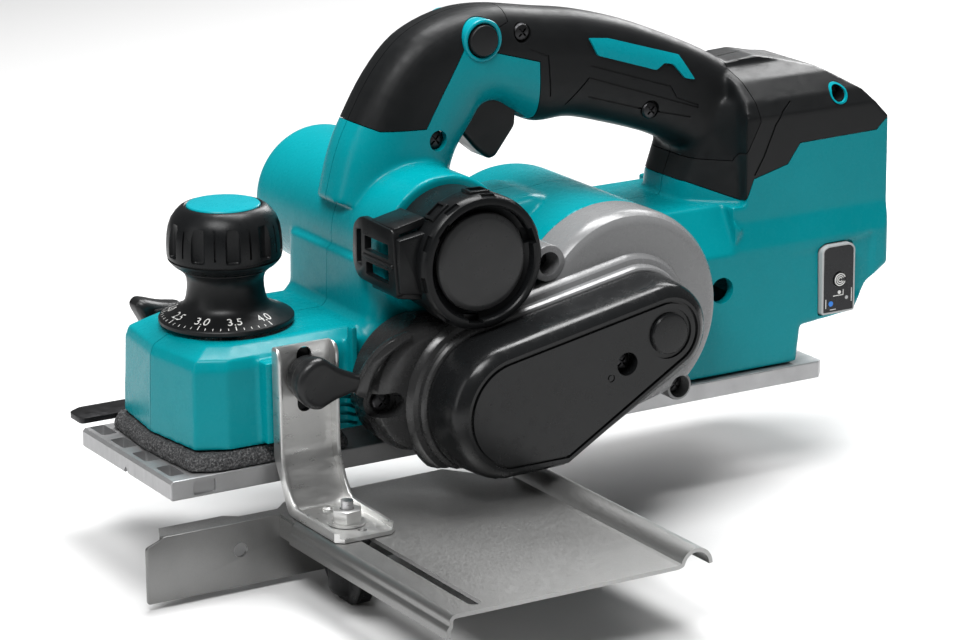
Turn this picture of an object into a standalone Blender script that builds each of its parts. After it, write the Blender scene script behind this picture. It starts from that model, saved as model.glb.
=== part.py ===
"""Cordless 82 mm planer with edge guide, built as separate pieces.

World frame: +X to the rear of the tool, +Y to its right side, +Z up, metres.
The world origin is the centre of the rear shoe's sole.
Sizes below are in millimetres, with x measured from the front edge of the front shoe,
y from the middle plane and z from the sole; place() turns them into world metres.
"""
import bpy
import bmesh
import math
from mathutils import Vector

MM = 0.001
ORIGIN_X = 226.0        # distance from the front edge of the shoe to the world origin
GAP = 0.3               # clearance between neighbouring pieces

SHOE_HALF = 41.0        # half the planing width
BASE_LENGTH = 311.4     # front edge of the front shoe to rear edge of the rear shoe
DRUM_X, DRUM_Z = 129.0, 27.0
DRUM_R = 25.4
MOTOR_X, MOTOR_Z = 199.0, 49.0
TUBE_X, TUBE_Z = 124.0, 85.0
TUBE_R = 29.3
KNOB_X = 46.5
DIAL_TURN = 252.2        # direction of the dial's 3.5 mark, in degrees from +X
BODY_HALF = 38.5
ARM_X0, ARM_X1 = 43.5, 70.0
PLATE_TOP = -9.6        # top of the guide plate
STEEL = 1.6             # thickness of the guide's sheet steel
BOLT_X, BOLT_Y = 56.3, -80.0
ARM_END = -96.0         # outer end of the guide arm's foot
LOCK_X, LOCK_Z = 156.6, 160.6
MODE_X, MODE_Z = 318.8, 42.1
GRIP_SCREWS = ((176.4, 161.3, -15.8), (238.0, 121.5, -16.8))  # x, z and face of the head
TRIGGER_X, TRIGGER_Z = 154.0, 131.0
LEVER_X, LEVER_Z = 57.0, 43.5
STOP_X, STOP_Z = 43.0, 44.0
FOOT_X, FOOT_Y, FOOT_Z = 304.5, 27.0, 12.0

TEAL = ((0.0, 0.33, 0.36, 1), 0.35, 0.0)
BLACK = ((0.025, 0.026, 0.028, 1), 0.55, 0.0)
DARK_GREY = ((0.09, 0.09, 0.10, 1), 0.5, 0.0)
GREY = ((0.24, 0.24, 0.25, 1), 0.45, 0.3)
ALUMINIUM = ((0.55, 0.55, 0.56, 1), 0.4, 1.0)
ZINC = ((0.62, 0.62, 0.62, 1), 0.32, 1.0)
STEEL_PAINT = ((0.42, 0.42, 0.43, 1), 0.35, 1.0)
FOAM = ((0.12, 0.12, 0.12, 1), 0.95, 0.0)
COPPER = ((0.6, 0.28, 0.12, 1), 0.4, 0.6)
GREEN = ((0.02, 0.2, 0.08, 1), 0.5, 0.0)
RUBBER = ((0.015, 0.015, 0.016, 1), 0.8, 0.0)

for leftover in list(bpy.data.objects):
    bpy.data.objects.remove(leftover)


# ---------------------------------------------------------------- helpers
def place(x, y, z):
    return Vector(((x - ORIGIN_X) * MM, y * MM, z * MM))


def paint(part, look):
    colour, rough, metal = look
    mat = bpy.data.materials.new(part.name + "_paint")
    mat.use_nodes = True
    shader = mat.node_tree.nodes["Principled BSDF"]
    shader.inputs["Base Color"].default_value = colour
    shader.inputs["Roughness"].default_value = rough
    shader.inputs["Metallic"].default_value = metal
    part.data.materials.clear()
    part.data.materials.append(mat)


def solid(name, points, faces, look=None):
    mesh = bpy.data.meshes.new(name)
    mesh.from_pydata([place(*p) for p in points], [], faces)
    body = bmesh.new()
    body.from_mesh(mesh)
    bmesh.ops.recalc_face_normals(body, faces=body.faces)
    body.to_mesh(mesh)
    body.free()
    part = bpy.data.objects.new(name, mesh)
    bpy.context.scene.collection.objects.link(part)
    if look:
        paint(part, look)
    return part


def rings(name, loops, look=None):
    """A solid through closed loops of points that all have the same count."""
    count = len(loops[0])
    points = [p for loop in loops for p in loop]
    faces = [tuple(range(count))]
    faces.append(tuple(range(len(points) - count, len(points))))
    for level in range(len(loops) - 1):
        for i in range(count):
            j = (i + 1) % count
            a = level * count
            faces.append((a + i, a + j, a + count + j, a + count + i))
    return solid(name, points, faces, look)


def prism(name, outline, axis, low, high, look=None):
    """An outline drawn in the plane across axis, filled from low to high."""
    turn = {
        "x": lambda p, h: (h, p[0], p[1]),
        "y": lambda p, h: (p[0], h, p[1]),
        "z": lambda p, h: (p[0], p[1], h),
    }[axis]
    return rings(name, [[turn(p, low) for p in outline], [turn(p, high) for p in outline]], look)


def box(name, x, y, z, look=None):
    outline = [(x[0], y[0]), (x[1], y[0]), (x[1], y[1]), (x[0], y[1])]
    return prism(name, outline, "z", z[0], z[1], look)


def arc(cx, cy, r, start, end, steps):
    angles = [math.radians(start + (end - start) * i / steps) for i in range(steps + 1)]
    return [(cx + r * math.cos(a), cy + r * math.sin(a)) for a in angles]


def circle(cx, cy, r, steps):
    return arc(cx, cy, r, 0, 360, steps)[:-1]


def lathe(name, centre, axis, profile, steps, look=None):
    """Turns a profile of (radius, height) about an axis through centre; heights are absolute."""
    cx, cy = centre
    loops = []
    for r, h in profile:
        ring = circle(cx, cy, max(r, 0.0), steps)
        if axis == "y":
            loops.append([(a, h, b) for a, b in ring])
        else:
            loops.append([(a, b, h) for a, b in ring])
    closed = profile[0] == profile[-1]
    if not closed:
        return rings(name, loops, look)
    loops.pop()
    count = steps
    points = [p for loop in loops for p in loop]
    faces = []
    for level in range(len(loops)):
        after = (level + 1) % len(loops)
        for i in range(count):
            j = (i + 1) % count
            faces.append((level * count + i, level * count + j, after * count + j, after * count + i))
    return solid(name, points, faces, look)


def combine(part, others, operation):
    """Joins, cuts or trims part with the others, which are used up."""
    for other in others:
        step = part.modifiers.new("shape", "BOOLEAN")
        step.operation = operation
        step.solver = "EXACT"
        step.object = other
        bpy.context.view_layer.update()
        graph = bpy.context.evaluated_depsgraph_get()
        mesh = bpy.data.meshes.new_from_object(part.evaluated_get(graph))
        part.modifiers.clear()
        part.data = mesh
        bpy.data.objects.remove(other)
    tidy(part)
    return part


def tidy(part):
    body = bmesh.new()
    body.from_mesh(part.data)
    bmesh.ops.remove_doubles(body, verts=body.verts, dist=0.000002)
    drop_slivers(body)
    body.to_mesh(part.data)
    body.free()


def drop_slivers(body):
    """Removes loose scraps of a cut, which have only a few corners."""
    seen = set()
    for start in list(body.verts):
        if start in seen:
            continue
        seen.add(start)
        group = [start]
        for vertex in group:
            for edge in vertex.link_edges:
                other = edge.other_vert(vertex)
                if other not in seen:
                    seen.add(other)
                    group.append(other)
        if len(group) < 7:
            bmesh.ops.delete(body, geom=group, context="VERTS")


def join(part, *others):
    return combine(part, others, "UNION")


def cut(part, *others):
    return combine(part, others, "DIFFERENCE")


def soften(part, width, steps, keep_edge=None):
    """Rounds the sharp edges of part, or only those for which keep_edge is true."""
    body = bmesh.new()
    body.from_mesh(part.data)
    edges = []
    for edge in body.edges:
        if len(edge.link_faces) != 2 or edge.calc_face_angle() < math.radians(25):
            continue
        a, b = (v.co / MM + Vector((ORIGIN_X, 0, 0)) for v in edge.verts)
        if keep_edge is None or keep_edge(a, b):
            edges.append(edge)
    bmesh.ops.bevel(body, geom=edges, offset=width * MM, segments=steps, profile=0.5,
                    affect="EDGES", clamp_overlap=True)
    body.to_mesh(part.data)
    body.free()
    return part


def copy_of(part, name, look=None):
    twin = bpy.data.objects.new(name, part.data.copy())
    bpy.context.scene.collection.objects.link(twin)
    if look:
        paint(twin, look)
    return twin


def grown(outline, amount):
    """The outline moved outwards by amount, or inwards if amount is negative."""
    count = len(outline)
    area = sum(outline[i][0] * outline[(i + 1) % count][1] - outline[(i + 1) % count][0] * outline[i][1]
               for i in range(count))
    side = 1 if area > 0 else -1
    result = []
    for i in range(count):
        before, here, after = (Vector(outline[(i + k) % count]) for k in (-1, 0, 1))
        d1 = (here - before).normalized()
        d2 = (after - here).normalized()
        n1 = Vector((d1.y, -d1.x)) * side
        n2 = Vector((d2.y, -d2.x)) * side
        middle = n1 + n2
        result.append(tuple(here + middle * amount / max(1.0 + n1.dot(n2), 0.35)))
    return result


def set_origin(part, x, y, z):
    point = place(x, y, z)
    for vertex in part.data.vertices:
        vertex.co -= point
    part.location = point


def smooth(part, angle=32):
    for polygon in part.data.polygons:
        polygon.use_smooth = True
    part.data.set_sharp_from_angle(angle=math.radians(angle))


# ---------------------------------------------------------------- casing
PLAN = [(11.2, 0), (15, -32), (26, -38.2), (44, -38.5), (100, -38.5),
        (100, 38.5), (44, 38.5), (26, 38.2), (15, 32)]
REAR = [(238, 8.3), (299, 8.3), (301, 23.5), (328.7, 26), (335, 37.4), (346.4, 45), (346.4, 109.7),
        (334, 122.5), (320, 131.5), (294, 137.5), (275, 136), (273, 112), (273, 80), (238, 80)]
HANDLE = [  # outer point, inner point, half width
    ((92, 100), (143, 88), 18), ((97, 118), (146, 106), 18), ((103, 131), (150, 116), 17.5),
    ((114, 149), (156, 124), 17), ((128, 163), (161, 131), 17), ((147, 170.6), (168, 132), 17),
    ((165.6, 172), (176, 127), 17), ((190, 168.3), (187, 121), 16.5), ((210, 165), (203, 121), 16.5),
    ((232, 158.8), (222, 116), 16.5), ((254, 150), (243, 109), 17), ((271, 142), (257, 102), 18.5),
    ((284, 134), (269, 94), 21)]
FRONT_ZONE = [(70, 150), (92, 136), (110, 128.3), (130, 127.3), (146.4, 154.5), (146.9, 163), (151.5, 168.9),
              (156.6, 170.1), (161.7, 168.9), (166.2, 164.8), (170.5, 166), (172, 185), (70, 185)]
GRIP_ZONE = [(172, 185), (170.5, 166), (165.9, 165.5), (167, 155.5), (184, 148.5), (184.8, 125),
             (180, 119), (180, 104), (247, 104), (256, 98), (271, 98), (280, 115), (277.5, 145), (270, 185)]
CAP_ZONE = [(270, 185), (277.5, 145), (280, 115), (271, 98), (256, 98), (247, 104), (240, 104), (240, 88.5),
            (256, 88.5), (273, 81.5), (276.8, 91), (294, 95.2), (300.3, 103.6), (340, 104.3), (352, 112),
            (352, 185)]


def handle_loops(inset):
    loops = []
    for outer, inner, half in HANDLE:
        top, low = Vector(outer), Vector(inner)
        middle = (top + low) / 2
        reach = (top - low) / 2
        reach = reach * (1 - inset / reach.length)
        loop = []
        for i in range(16):
            a = math.tau * i / 16
            c, s = math.cos(a), math.sin(a)
            up = math.copysign(abs(c) ** 0.72, c)
            out = math.copysign(abs(s) ** 0.72, s)
            point = middle + reach * up
            loop.append((point.x, out * (half - inset), point.y))
        loops.append(loop)
    return loops


def front_block():
    loops = []
    for z, scale in ((15.5, 1.0), (47.5, 0.972), (51, 0.94), (55.4, 0.78)):
        loops.append([(60 + (x - 60) * scale, y * scale, z) for x, y in PLAN])
    return rings("front_block", loops)


def casing_solid():
    middle = [(84, 17), (150, 17), (150, 8.3), (262, 8.3), (262, 80), (222, 80), (150, 84), (112, 84), (92.5, 80),
              (92, 58), (86, 52), (84, 50)]
    body = prism("body", middle, "y", -BODY_HALF, BODY_HALF)
    soften(body, 9, 3, lambda a, b: min(a.z, b.z) > 40 and abs(a.y) > 38 and a.y * b.y > 0)
    tube = lathe("tube", (TUBE_X, TUBE_Z), "y",
                 [(20, -42), (TUBE_R - 1, -42), (TUBE_R, -41), (TUBE_R, 64), (27.5, 69), (23.5, 72)], 32)
    bulge = lathe("bulge", (MOTOR_X, MOTOR_Z), "y", [(40, -41), (44, -41), (44, 37), (41, 43), (34, 47.5)], 32)
    saddle = prism("saddle", [(120, 70), (126, 87), (150, 91.5), (180, 93.5), (204, 88.5), (222, 81.5), (230, 68)],
                   "y", -22, 22)
    soften(saddle, 9, 3, lambda a, b: min(a.z, b.z) > 75 and a.y * b.y > 0)
    rear = prism("rear", REAR, "y", -BODY_HALF, BODY_HALF)
    soften(rear, 2.5, 2, lambda a, b: a.y * b.y > 0 and min(a.z, b.z) < 100 and min(a.x, b.x) > 290)
    for side in (-1, 1):
        shoulder = [(side * 38.7, 112), (side * 33, 123), (side * 24, 130), (side * 12, 134.5), (side * 10, 150),
                    (side * 50, 150), (side * 50, 112)]
        cut(rear, prism("shoulder", shoulder, "x", 220, 380))
    foot = [(255, -16), (276, -34), (290, -34), (290, 34), (276, 34), (255, 16)]
    pillar = prism("pillar", foot, "z", 70, 122)
    soften(pillar, 5, 2, lambda a, b: abs(a.z - b.z) > 20 and a.x < 270)
    drum_wall = lathe("drum_wall", (DRUM_X, DRUM_Z), "y", [(33, 30), (33, 46), (29, 49.5)], 24)
    arm_boss = prism("arm_boss", [(40.5, -36), (41.5, -43.6), (72, -43.6), (76, -36)], "z", 17, 50)
    stop_boss = prism("stop_boss", [(32, 36), (33, 41.1), (53, 41.1), (54, 36)], "z", 18, 50)
    handle = rings("handle", handle_loops(0.0))
    shell = front_block()
    join(shell, body, tube, bulge, saddle, rear, pillar, drum_wall, arm_boss, stop_boss, handle)
    under = box("under", (90, 165), (-60, 60), (-10, 2.0))
    sole = box("sole_level", (165, 420), (-60, 60), (-10, 7.8))
    cut(shell, under, sole)
    return shell


def casing_hollows():
    front = prism("hollow_front", [(17, 0), (20, -28), (28, -34.5), (92, -34.5), (92, 34.5), (28, 34.5), (20, 28)],
                  "z", 10, 46)
    middle = prism("hollow_middle", [(90, 10), (104, 10), (150, 10), (150, 12), (256, 12), (256, 80), (222, 80),
                                     (118, 78), (96, 66), (90, 46)], "y", -34.5, 34.5)
    opening = box("hollow_opening", (94, 158), (-45, 41.5), (-10, 28))
    drum = lathe("hollow_drum", (DRUM_X, DRUM_Z), "y",
                 [(24, -50), (29.5, -50), (29.5, 41.5), (10.4, 41.5), (10.4, 47.4)], 24)
    tube = lathe("hollow_tube", (TUBE_X, TUBE_Z), "y", [(22.4, -50), (22.4, 80)], 28)
    motor = lathe("hollow_motor", (MOTOR_X, MOTOR_Z), "y",
                  [(36, -50), (40.6, -50), (40.6, 33), (37, 39.5), (13, 39.5), (13, 35), (9.9, 35), (9.9, 43.4)], 28)
    room = [(244, 12), (296, 12), (298, 27), (326.5, 29.5), (332.5, 40.5), (342.9, 47), (342.9, 107), (331, 110),
            (318, 110.5), (279, 110.5), (276.5, 74), (244, 74)]
    rear = prism("hollow_rear", room, "y", -34.8, 34.8)
    loft = [(268, -12), (276, -28), (290, -28), (290, 28), (276, 28), (268, 12)]
    pillar = prism("hollow_pillar", loft, "z", 66, 122)
    grip = rings("hollow_grip", handle_loops(3.4)[1:])
    knob = lathe("hollow_knob", (KNOB_X, 0), "z", [(6.2, 40), (6.2, 70)], 20)
    slot = box("hollow_trigger", (147, 182), (-8.2, 8.2), (100, 140))
    lock = prism("hollow_lock", circle(LOCK_X, LOCK_Z, 7.0, 20), "y", -30, 30)
    battery = prism("hollow_battery", [(327, 38.5), (360, 38.5), (360, 104), (327, 104)], "y", -31, 31)
    recess = prism("hollow_recess", circle(259.5, 45.5, 6.2, 16), "y", -60, -30)
    panel = prism("hollow_panel", [(309, 26.6), (327.6, 26.6), (327.6, 58.4), (309, 58.4)], "y", -60, -36.8)
    foot = box("hollow_foot", (287, 303), (22.5, 31.5), (0, 17.5))
    lever = prism("hollow_lever", circle(LEVER_X, LEVER_Z, 3.4, 16), "y", -60, -30)
    stop = prism("hollow_stop", circle(STOP_X, STOP_Z, 3.4, 16), "y", 30, 60)
    return [front, middle, opening, drum, tube, motor, rear, pillar, grip, knob, slot, lock, battery, recess,
            panel, foot, lever, stop]


def side_half(part, side):
    """Keeps the left or the right half of part, up to the seam in the middle plane."""
    body = bmesh.new()
    body.from_mesh(part.data)
    everything = body.verts[:] + body.edges[:] + body.faces[:]
    parted = bmesh.ops.bisect_plane(body, geom=everything, dist=1e-7, plane_co=(0, side * GAP / 2 * MM, 0),
                                    plane_no=(0, -side, 0), clear_outer=True)
    rim = [item for item in parted["geom_cut"] if isinstance(item, bmesh.types.BMEdge)]
    bmesh.ops.triangle_fill(body, edges=rim, use_beauty=True, normal=(0, -side, 0))
    body.to_mesh(part.data)
    body.free()
    return part


def mirrored(part):
    """Reflects part in the middle plane."""
    body = bmesh.new()
    body.from_mesh(part.data)
    for vertex in body.verts:
        vertex.co.y = -vertex.co.y
    bmesh.ops.reverse_faces(body, faces=body.faces)
    body.to_mesh(part.data)
    body.free()


def in_triangles(part):
    body = bmesh.new()
    body.from_mesh(part.data)
    bmesh.ops.triangulate(body, faces=body.faces)
    body.to_mesh(part.data)
    body.free()


def casings():
    shell = cut(casing_solid(), *casing_hollows())
    zones = (("front_grip", FRONT_ZONE, BLACK), ("grip", GRIP_ZONE, BLACK), ("rear_cap", CAP_ZONE, BLACK))
    for name, outline, look in zones:
        piece = copy_of(shell, name)
        zone = prism("zone", grown(outline, -0.15), "y", -60, 60)
        combine(piece, [zone], "INTERSECT")
        side_half(piece, 1)
        mirrored(copy_of(piece, name + "_left", look))
        piece.name = name + "_right"
        paint(piece, look)
        cut(shell, prism("zone", grown(outline, 0.15), "y", -60, 60))
    for x, z, face in GRIP_SCREWS:
        recess = prism("recess", circle(x, z, 4.2, 18), "y", -30, face + 2.5)
        hole = prism("hole", circle(x, z, 2.0, 16), "y", -30, 0)
        cut(bpy.data.objects["grip_left"], recess, hole)
    in_triangles(shell)
    for side, word in ((-1, "_left"), (1, "_right")):
        side_half(copy_of(shell, "casing" + word, TEAL), side)
    bpy.data.objects.remove(shell)


# ---------------------------------------------------------------- base
def base():
    shoe = prism("front_shoe", [(0, 1), (1, 0), (113.5, 0), (104, 8), (1.5, 8), (0, 7)], "y",
                 -SHOE_HALF, SHOE_HALF, ALUMINIUM)
    boss = lathe("boss", (KNOB_X, 0), "z", [(13, 6), (13, 9), (10, 12), (10, 26)], 24)
    join(shoe, boss)
    for middle in (34, 14.5, -6, -27.5):
        cut(shoe, box("pocket", (3, 9.5), (middle - 6.5, middle + 6.5), (4.5, 20)))
    cut(shoe, box("side_pocket", (9.5, 19.5), (-50, -40.2), (0.8, 6.8)))
    groove = prism("groove", [(-3.5, -1), (3.5, -1), (0, 3.2)], "x", -5, 125)
    thread = lathe("thread", (KNOB_X, 0), "z", [(4.3, 5), (4.3, 40)], 20)
    cut(shoe, groove, thread)

    rear = prism("rear_shoe", [(138, 0), (309.4, 0), (BASE_LENGTH, 2), (BASE_LENGTH, 5.5), (309.4, 7.5),
                               (153, 7.5)], "y", -SHOE_HALF, SHOE_HALF, ALUMINIUM)
    for side in (-1, 1):
        corner = [(305, side * 44), (315, side * 34), (318, side * 44)]
        cut(rear, prism("corner", corner, "z", -5, 12))
    for low in (20.6, 31.8):
        join(rear, box("lug", (301.6, 307.6), (low, low + 1.6), (6, 14.6)))
    cut(rear, box("foot_slot", (287.5, 308.5), (22.5, 31.5), (-5, 20)))
    cut(rear, prism("pin_room", circle(FOOT_X, FOOT_Z, 1.7, 16), "y", 10, 50))

    outer = [(8, 0), (11, -36), (20, -40.8), (80, -40.8), (80, 40.8), (20, 40.8), (11, 36)]
    inner = [(18, 0), (21, -28), (28, -33.5), (90, -33.5), (90, 33.5), (28, 33.5), (21, 28)]
    foam = prism("foam_strip", outer, "z", 8.3, 15.2, FOAM)
    cut(foam, prism("foam_hole", inner, "z", 0, 30))

    foot = prism("rear_foot", arc(FOOT_X, FOOT_Z, 3.0, 115, -65, 8) + arc(292.5, 3.6, 3.0, -65, -245, 8), "y",
                 23.3, 30.7, BLACK)
    cut(foot, prism("pin_hole", circle(FOOT_X, FOOT_Z, 1.8, 16), "y", 0, 60))
    prism("foot_pin", circle(FOOT_X, FOOT_Z, 1.4, 16), "y", 20, 34, STEEL_PAINT)


# ---------------------------------------------------------------- depth setting
def depth_setting():
    prism("adjusting_bolt", circle(KNOB_X, 0, 4.0, 20), "z", 9, 96, STEEL_PAINT)
    lathe("depth_dial", (KNOB_X, 0), "z",
          [(4.3, 57), (27.2, 57), (27.2, 59), (24, 61.5), (18.5, 64.5), (15.8, 68), (15.2, 72), (15.6, 75.5),
           (15.6, 79), (4.3, 79), (4.3, 57)], 32, DARK_GREY)
    cap = lathe("depth_knob", (KNOB_X, 0), "z",
                [(4.3, 79.3), (18.8, 79.3), (22.2, 82), (23.1, 85), (22.8, 93), (21.6, 98), (18.6, 102.4),
                 (15.3, 104.3), (15.3, 103), (4.3, 103), (4.3, 79.3)], 32, BLACK)
    for i in range(10):
        a = math.radians(DIAL_TURN + 36 * i)
        cx = KNOB_X + 25.6 * math.cos(a)
        cy = 25.6 * math.sin(a)
        cut(cap, prism("flute", circle(cx, cy, 3.9, 12), "z", 84.5, 99))
    lathe("knob_disc", (KNOB_X, 0), "z", [(14.8, 103.3), (14.8, 104.6), (13.8, 105.2)], 28, TEAL)


# ---------------------------------------------------------------- cutter
def cutter():
    drum = lathe("cutter_drum", (DRUM_X, DRUM_Z), "y",
                 [(6, -75), (6, -41), (11, -41), (11, -40.5), (DRUM_R, -40.5), (DRUM_R, 40.5), (11, 40.5),
                  (11, 41), (6, 41), (6, 46.5)], 28, STEEL_PAINT)
    for number, side in (("_1", 1), ("_2", -1)):
        def spot(u, w):
            return (DRUM_X + side * u, DRUM_Z + side * w)
        slot = [spot(-3.6, 12), spot(3.6, 12), spot(3.6, 40), spot(-3.6, 40)]
        cut(drum, prism("slot", slot, "y", -50, 50))
        blade = [spot(-3.3, 14.5), spot(-2.1, 14.5), spot(-2.1, 25.6), spot(-3.3, 26.8)]
        prism("blade" + number, blade, "y", -41, 41, ZINC)
        clamp = [spot(-1.8, 12.3), spot(3.3, 12.3), spot(3.3, 24.4), spot(0.5, 24.8), spot(-1.8, 22.5)]
        prism("blade_clamp" + number, clamp, "y", -40.5, 40.5, STEEL_PAINT)
    ring(DRUM_X, DRUM_Z, "drum_bearing_left", -50, -43, 6.3, 10)
    ring(DRUM_X, DRUM_Z, "drum_bearing_right", 41.8, 47.1, 6.3, 10)
    toothed(DRUM_X, DRUM_Z, "driven_pulley", 21.0, 6.3, 26)


def ring(x, z, name, low, high, inner, outer, look=STEEL_PAINT):
    return lathe(name, (x, z), "y", [(inner, low), (outer, low), (outer, high), (inner, high), (inner, low)],
                 20, look)


def toothed(x, z, name, radius, bore, steps):
    """A pulley with ribs round its rim and a flange on both sides."""
    ribs = []
    for i in range(2):
        y = -73.5 + 5.9 * i
        ribs += [(radius - 1.0, y), (radius - 0.2, y + 1.2), (radius - 0.2, y + 4.2)]
    profile = [(bore, -75.5), (radius + 1.6, -75.5), (radius + 1.6, -74.2)] + ribs
    profile += [(radius - 1.0, -61.9), (radius + 1.6, -61.6), (radius + 1.6, -60.6), (bore, -60.6), (bore, -75.5)]
    return lathe(name, (x, z), "y", profile, steps, ALUMINIUM)


def loop_outline(grow):
    """The belt's path round both pulleys."""
    big, small = 21.3 + grow, 8.3 + grow
    lean = math.degrees(math.atan2(MOTOR_Z - DRUM_Z, MOTOR_X - DRUM_X))
    span = math.hypot(MOTOR_Z - DRUM_Z, MOTOR_X - DRUM_X)
    side = math.degrees(math.acos((big - small) / span))
    low = arc(DRUM_X, DRUM_Z, big, lean + side, lean + 360 - side, 20)
    return low + arc(MOTOR_X, MOTOR_Z, small, lean - side, lean + side, 12)


def drive():
    belt = prism("drive_belt", loop_outline(2.0), "y", -73.4, -62.4, RUBBER)
    cut(belt, prism("inside", loop_outline(0.0), "y", -80, -50))
    toothed(MOTOR_X, MOTOR_Z, "drive_pulley", 8.0, 4.3, 16)
    shaft = prism("motor_shaft", circle(MOTOR_X, MOTOR_Z, 4.0, 20), "y", -77, 42.8, STEEL_PAINT)
    ring(MOTOR_X, MOTOR_Z, "rotor", -14, 24, 4.3, 16.5, STEEL_PAINT)
    stator = ring(MOTOR_X, MOTOR_Z, "stator", -18, 28, 17.4, 32, COPPER)
    for i in range(6):
        a = math.tau * i / 6
        cx, cz = MOTOR_X + 25 * math.cos(a), MOTOR_Z + 25 * math.sin(a)
        cut(stator, prism("slot", circle(cx, cz, 3.2, 10), "y", -30, 40))
    fan = ring(MOTOR_X, MOTOR_Z, "fan", -26, -24, 4.3, 35, BLACK)
    join(fan, ring(MOTOR_X, MOTOR_Z, "hub", -34, -25, 4.3, 8))
    for i in range(7):
        a = math.tau * i / 7
        inner, outer = 7.0, 34.5
        u = Vector((math.cos(a), math.sin(a)))
        v = Vector((-u.y, u.x))
        c = Vector((MOTOR_X, MOTOR_Z))
        blade = [c + u * inner - v * 0.8, c + u * outer + v * 4, c + u * outer + v * 5.6, c + u * inner + v * 0.8]
        join(fan, prism("vane", [tuple(p) for p in blade], "y", -33.5, -25))
    ring(MOTOR_X, MOTOR_Z, "motor_bearing_left", -50, -43.5, 4.3, 9.5)
    ring(MOTOR_X, MOTOR_Z, "motor_bearing_right", 36, 43.1, 4.3, 9.5)


# ---------------------------------------------------------------- belt side
def lobe(grow, lowest=0.9):
    """Outline of the belt cover, larger by grow; it never goes below the sole."""
    low = arc(DRUM_X, DRUM_Z, 26 + grow, 102, 262, 13)
    corner = [(150.5, 3.2 - grow), (153 + grow * 0.5, 4.4 - grow)]
    top = arc(MOTOR_X, MOTOR_Z, 17.3 + grow, -57, 100, 10)
    return [(x, max(z, lowest)) for x, z in low + corner + top]


def housing_outline(grow):
    """Outline of the grey belt housing: a big disc round the motor and a lobe round the drum."""
    disc = arc(MOTOR_X, MOTOR_Z, 44 + grow, -52, 158, 18)
    front = arc(108, 33, 28 + grow, 55, 238, 13)
    neck = [(141, 57.5 + grow)]
    return disc + neck + front + [(128, 1.2 - grow), (190, 5.5 - grow)]


def belt_side():
    housing = prism("belt_housing", housing_outline(0), "y", -61, -41.3, GREY)
    soften(housing, 4.5, 1, lambda a, b: max(a.y, b.y) < -60)
    cut(housing, prism("pocket", housing_outline(-3), "y", -57.5, -30))
    join(housing, ring(DRUM_X, DRUM_Z, "drum_seat", -59, -43, 10.3, 13.5))
    join(housing, ring(MOTOR_X, MOTOR_Z, "motor_seat", -59, -43, 9.8, 13))
    join(housing, prism("rim", lobe(4.4), "y", -68, -58.5))
    ears = [prism("ear", circle(160.5, 77, 7, 14), "y", -57, -41.3),
            prism("ear", circle(86.5, 30, 7, 14), "y", -57.9, -41.3),
            prism("ear", circle(224, 15, 6, 14), "y", -60, -41.3)]
    join(housing, *ears)
    cut(housing, prism("inside", lobe(1.6, 2.6), "y", -80, -60.3))
    cut(housing, prism("bore", circle(DRUM_X, DRUM_Z, 6.8, 16), "y", -80, -40))
    cut(housing, prism("bore", circle(MOTOR_X, MOTOR_Z, 4.8, 14), "y", -80, -40))
    cut(housing, prism("seat", circle(DRUM_X, DRUM_Z, 10.4, 20), "y", -50.4, -40))
    cut(housing, prism("seat", circle(MOTOR_X, MOTOR_Z, 9.9, 20), "y", -50.4, -40))
    cut(housing, prism("tube_room", circle(TUBE_X, TUBE_Z, TUBE_R + 0.7, 28), "y", -42.8, -30))
    for x, z, y in ((160.5, 77, -50), (86.5, 30, -52), (224, 15, -53)):
        cut(housing, prism("recess", circle(x, z, 4.6, 14), "y", -80, y))
        cut(housing, prism("hole", circle(x, z, 2.3, 10), "y", -80, -30))

    faces = [[(x, -68.3, z) for x, z in lobe(3.4)], [(x, -84, z) for x, z in lobe(2.2)],
             [(x, -88.5, z) for x, z in lobe(1.0)], [(x, -90, z) for x, z in lobe(-1.2)]]
    cover = rings("belt_cover", faces, BLACK)
    cut(cover, prism("inside", lobe(0.2, 2.6), "y", -87, -60))
    cut(cover, prism("screw_hole", circle(179, 39.5, 4.3, 20), "y", -100, -80))
    join(cover, prism("boss", circle(MOTOR_X, MOTOR_Z, 8.2, 20), "y", -91.2, -86))


# ---------------------------------------------------------------- chip tube
def chip_tube():
    cover = lathe("chute_cover", (TUBE_X, TUBE_Z), "y",
                  [(19.6, -34), (22.1, -34), (22.1, -42.3), (25.6, -42.3), (26.2, -57), (27.2, -59), (27.2, -69),
                   (25.6, -72), (22.6, -72), (21.0, -68), (19.6, -66), (19.6, -34)], 28, BLACK)
    tab = prism("tab", [(-66, 66), (-62, 102), (-36, 102), (-30, 97), (-29, 80), (-33, 73)], "x", 88.5, 92.0)
    cut(tab, prism("window", [(-57, 88), (-57, 94), (-40, 94), (-40, 88)], "x", 80, 110))
    cut(tab, prism("window", [(-57, 76), (-57, 82), (-41, 82), (-41, 77)], "x", 80, 110))
    cut(tab, prism("window", [(-37, 81), (-37, 97), (-33, 96), (-33, 82)], "x", 80, 110))
    bridge = prism("bridge", [(89.5, 74), (102, 72), (102, 100), (89.5, 98)], "y", -66, -58.5)
    join(cover, tab, bridge)
    cut(cover, prism("mouth", circle(TUBE_X, TUBE_Z, 22.0, 28), "y", -66.5, -50))
    lathe("chute_disc", (TUBE_X, TUBE_Z), "y", [(18, -71.6), (19.9, -70.4), (19.9, -68.6), (19.2, -66.4),
                                                (19.2, -64)], 28, DARK_GREY)


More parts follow.
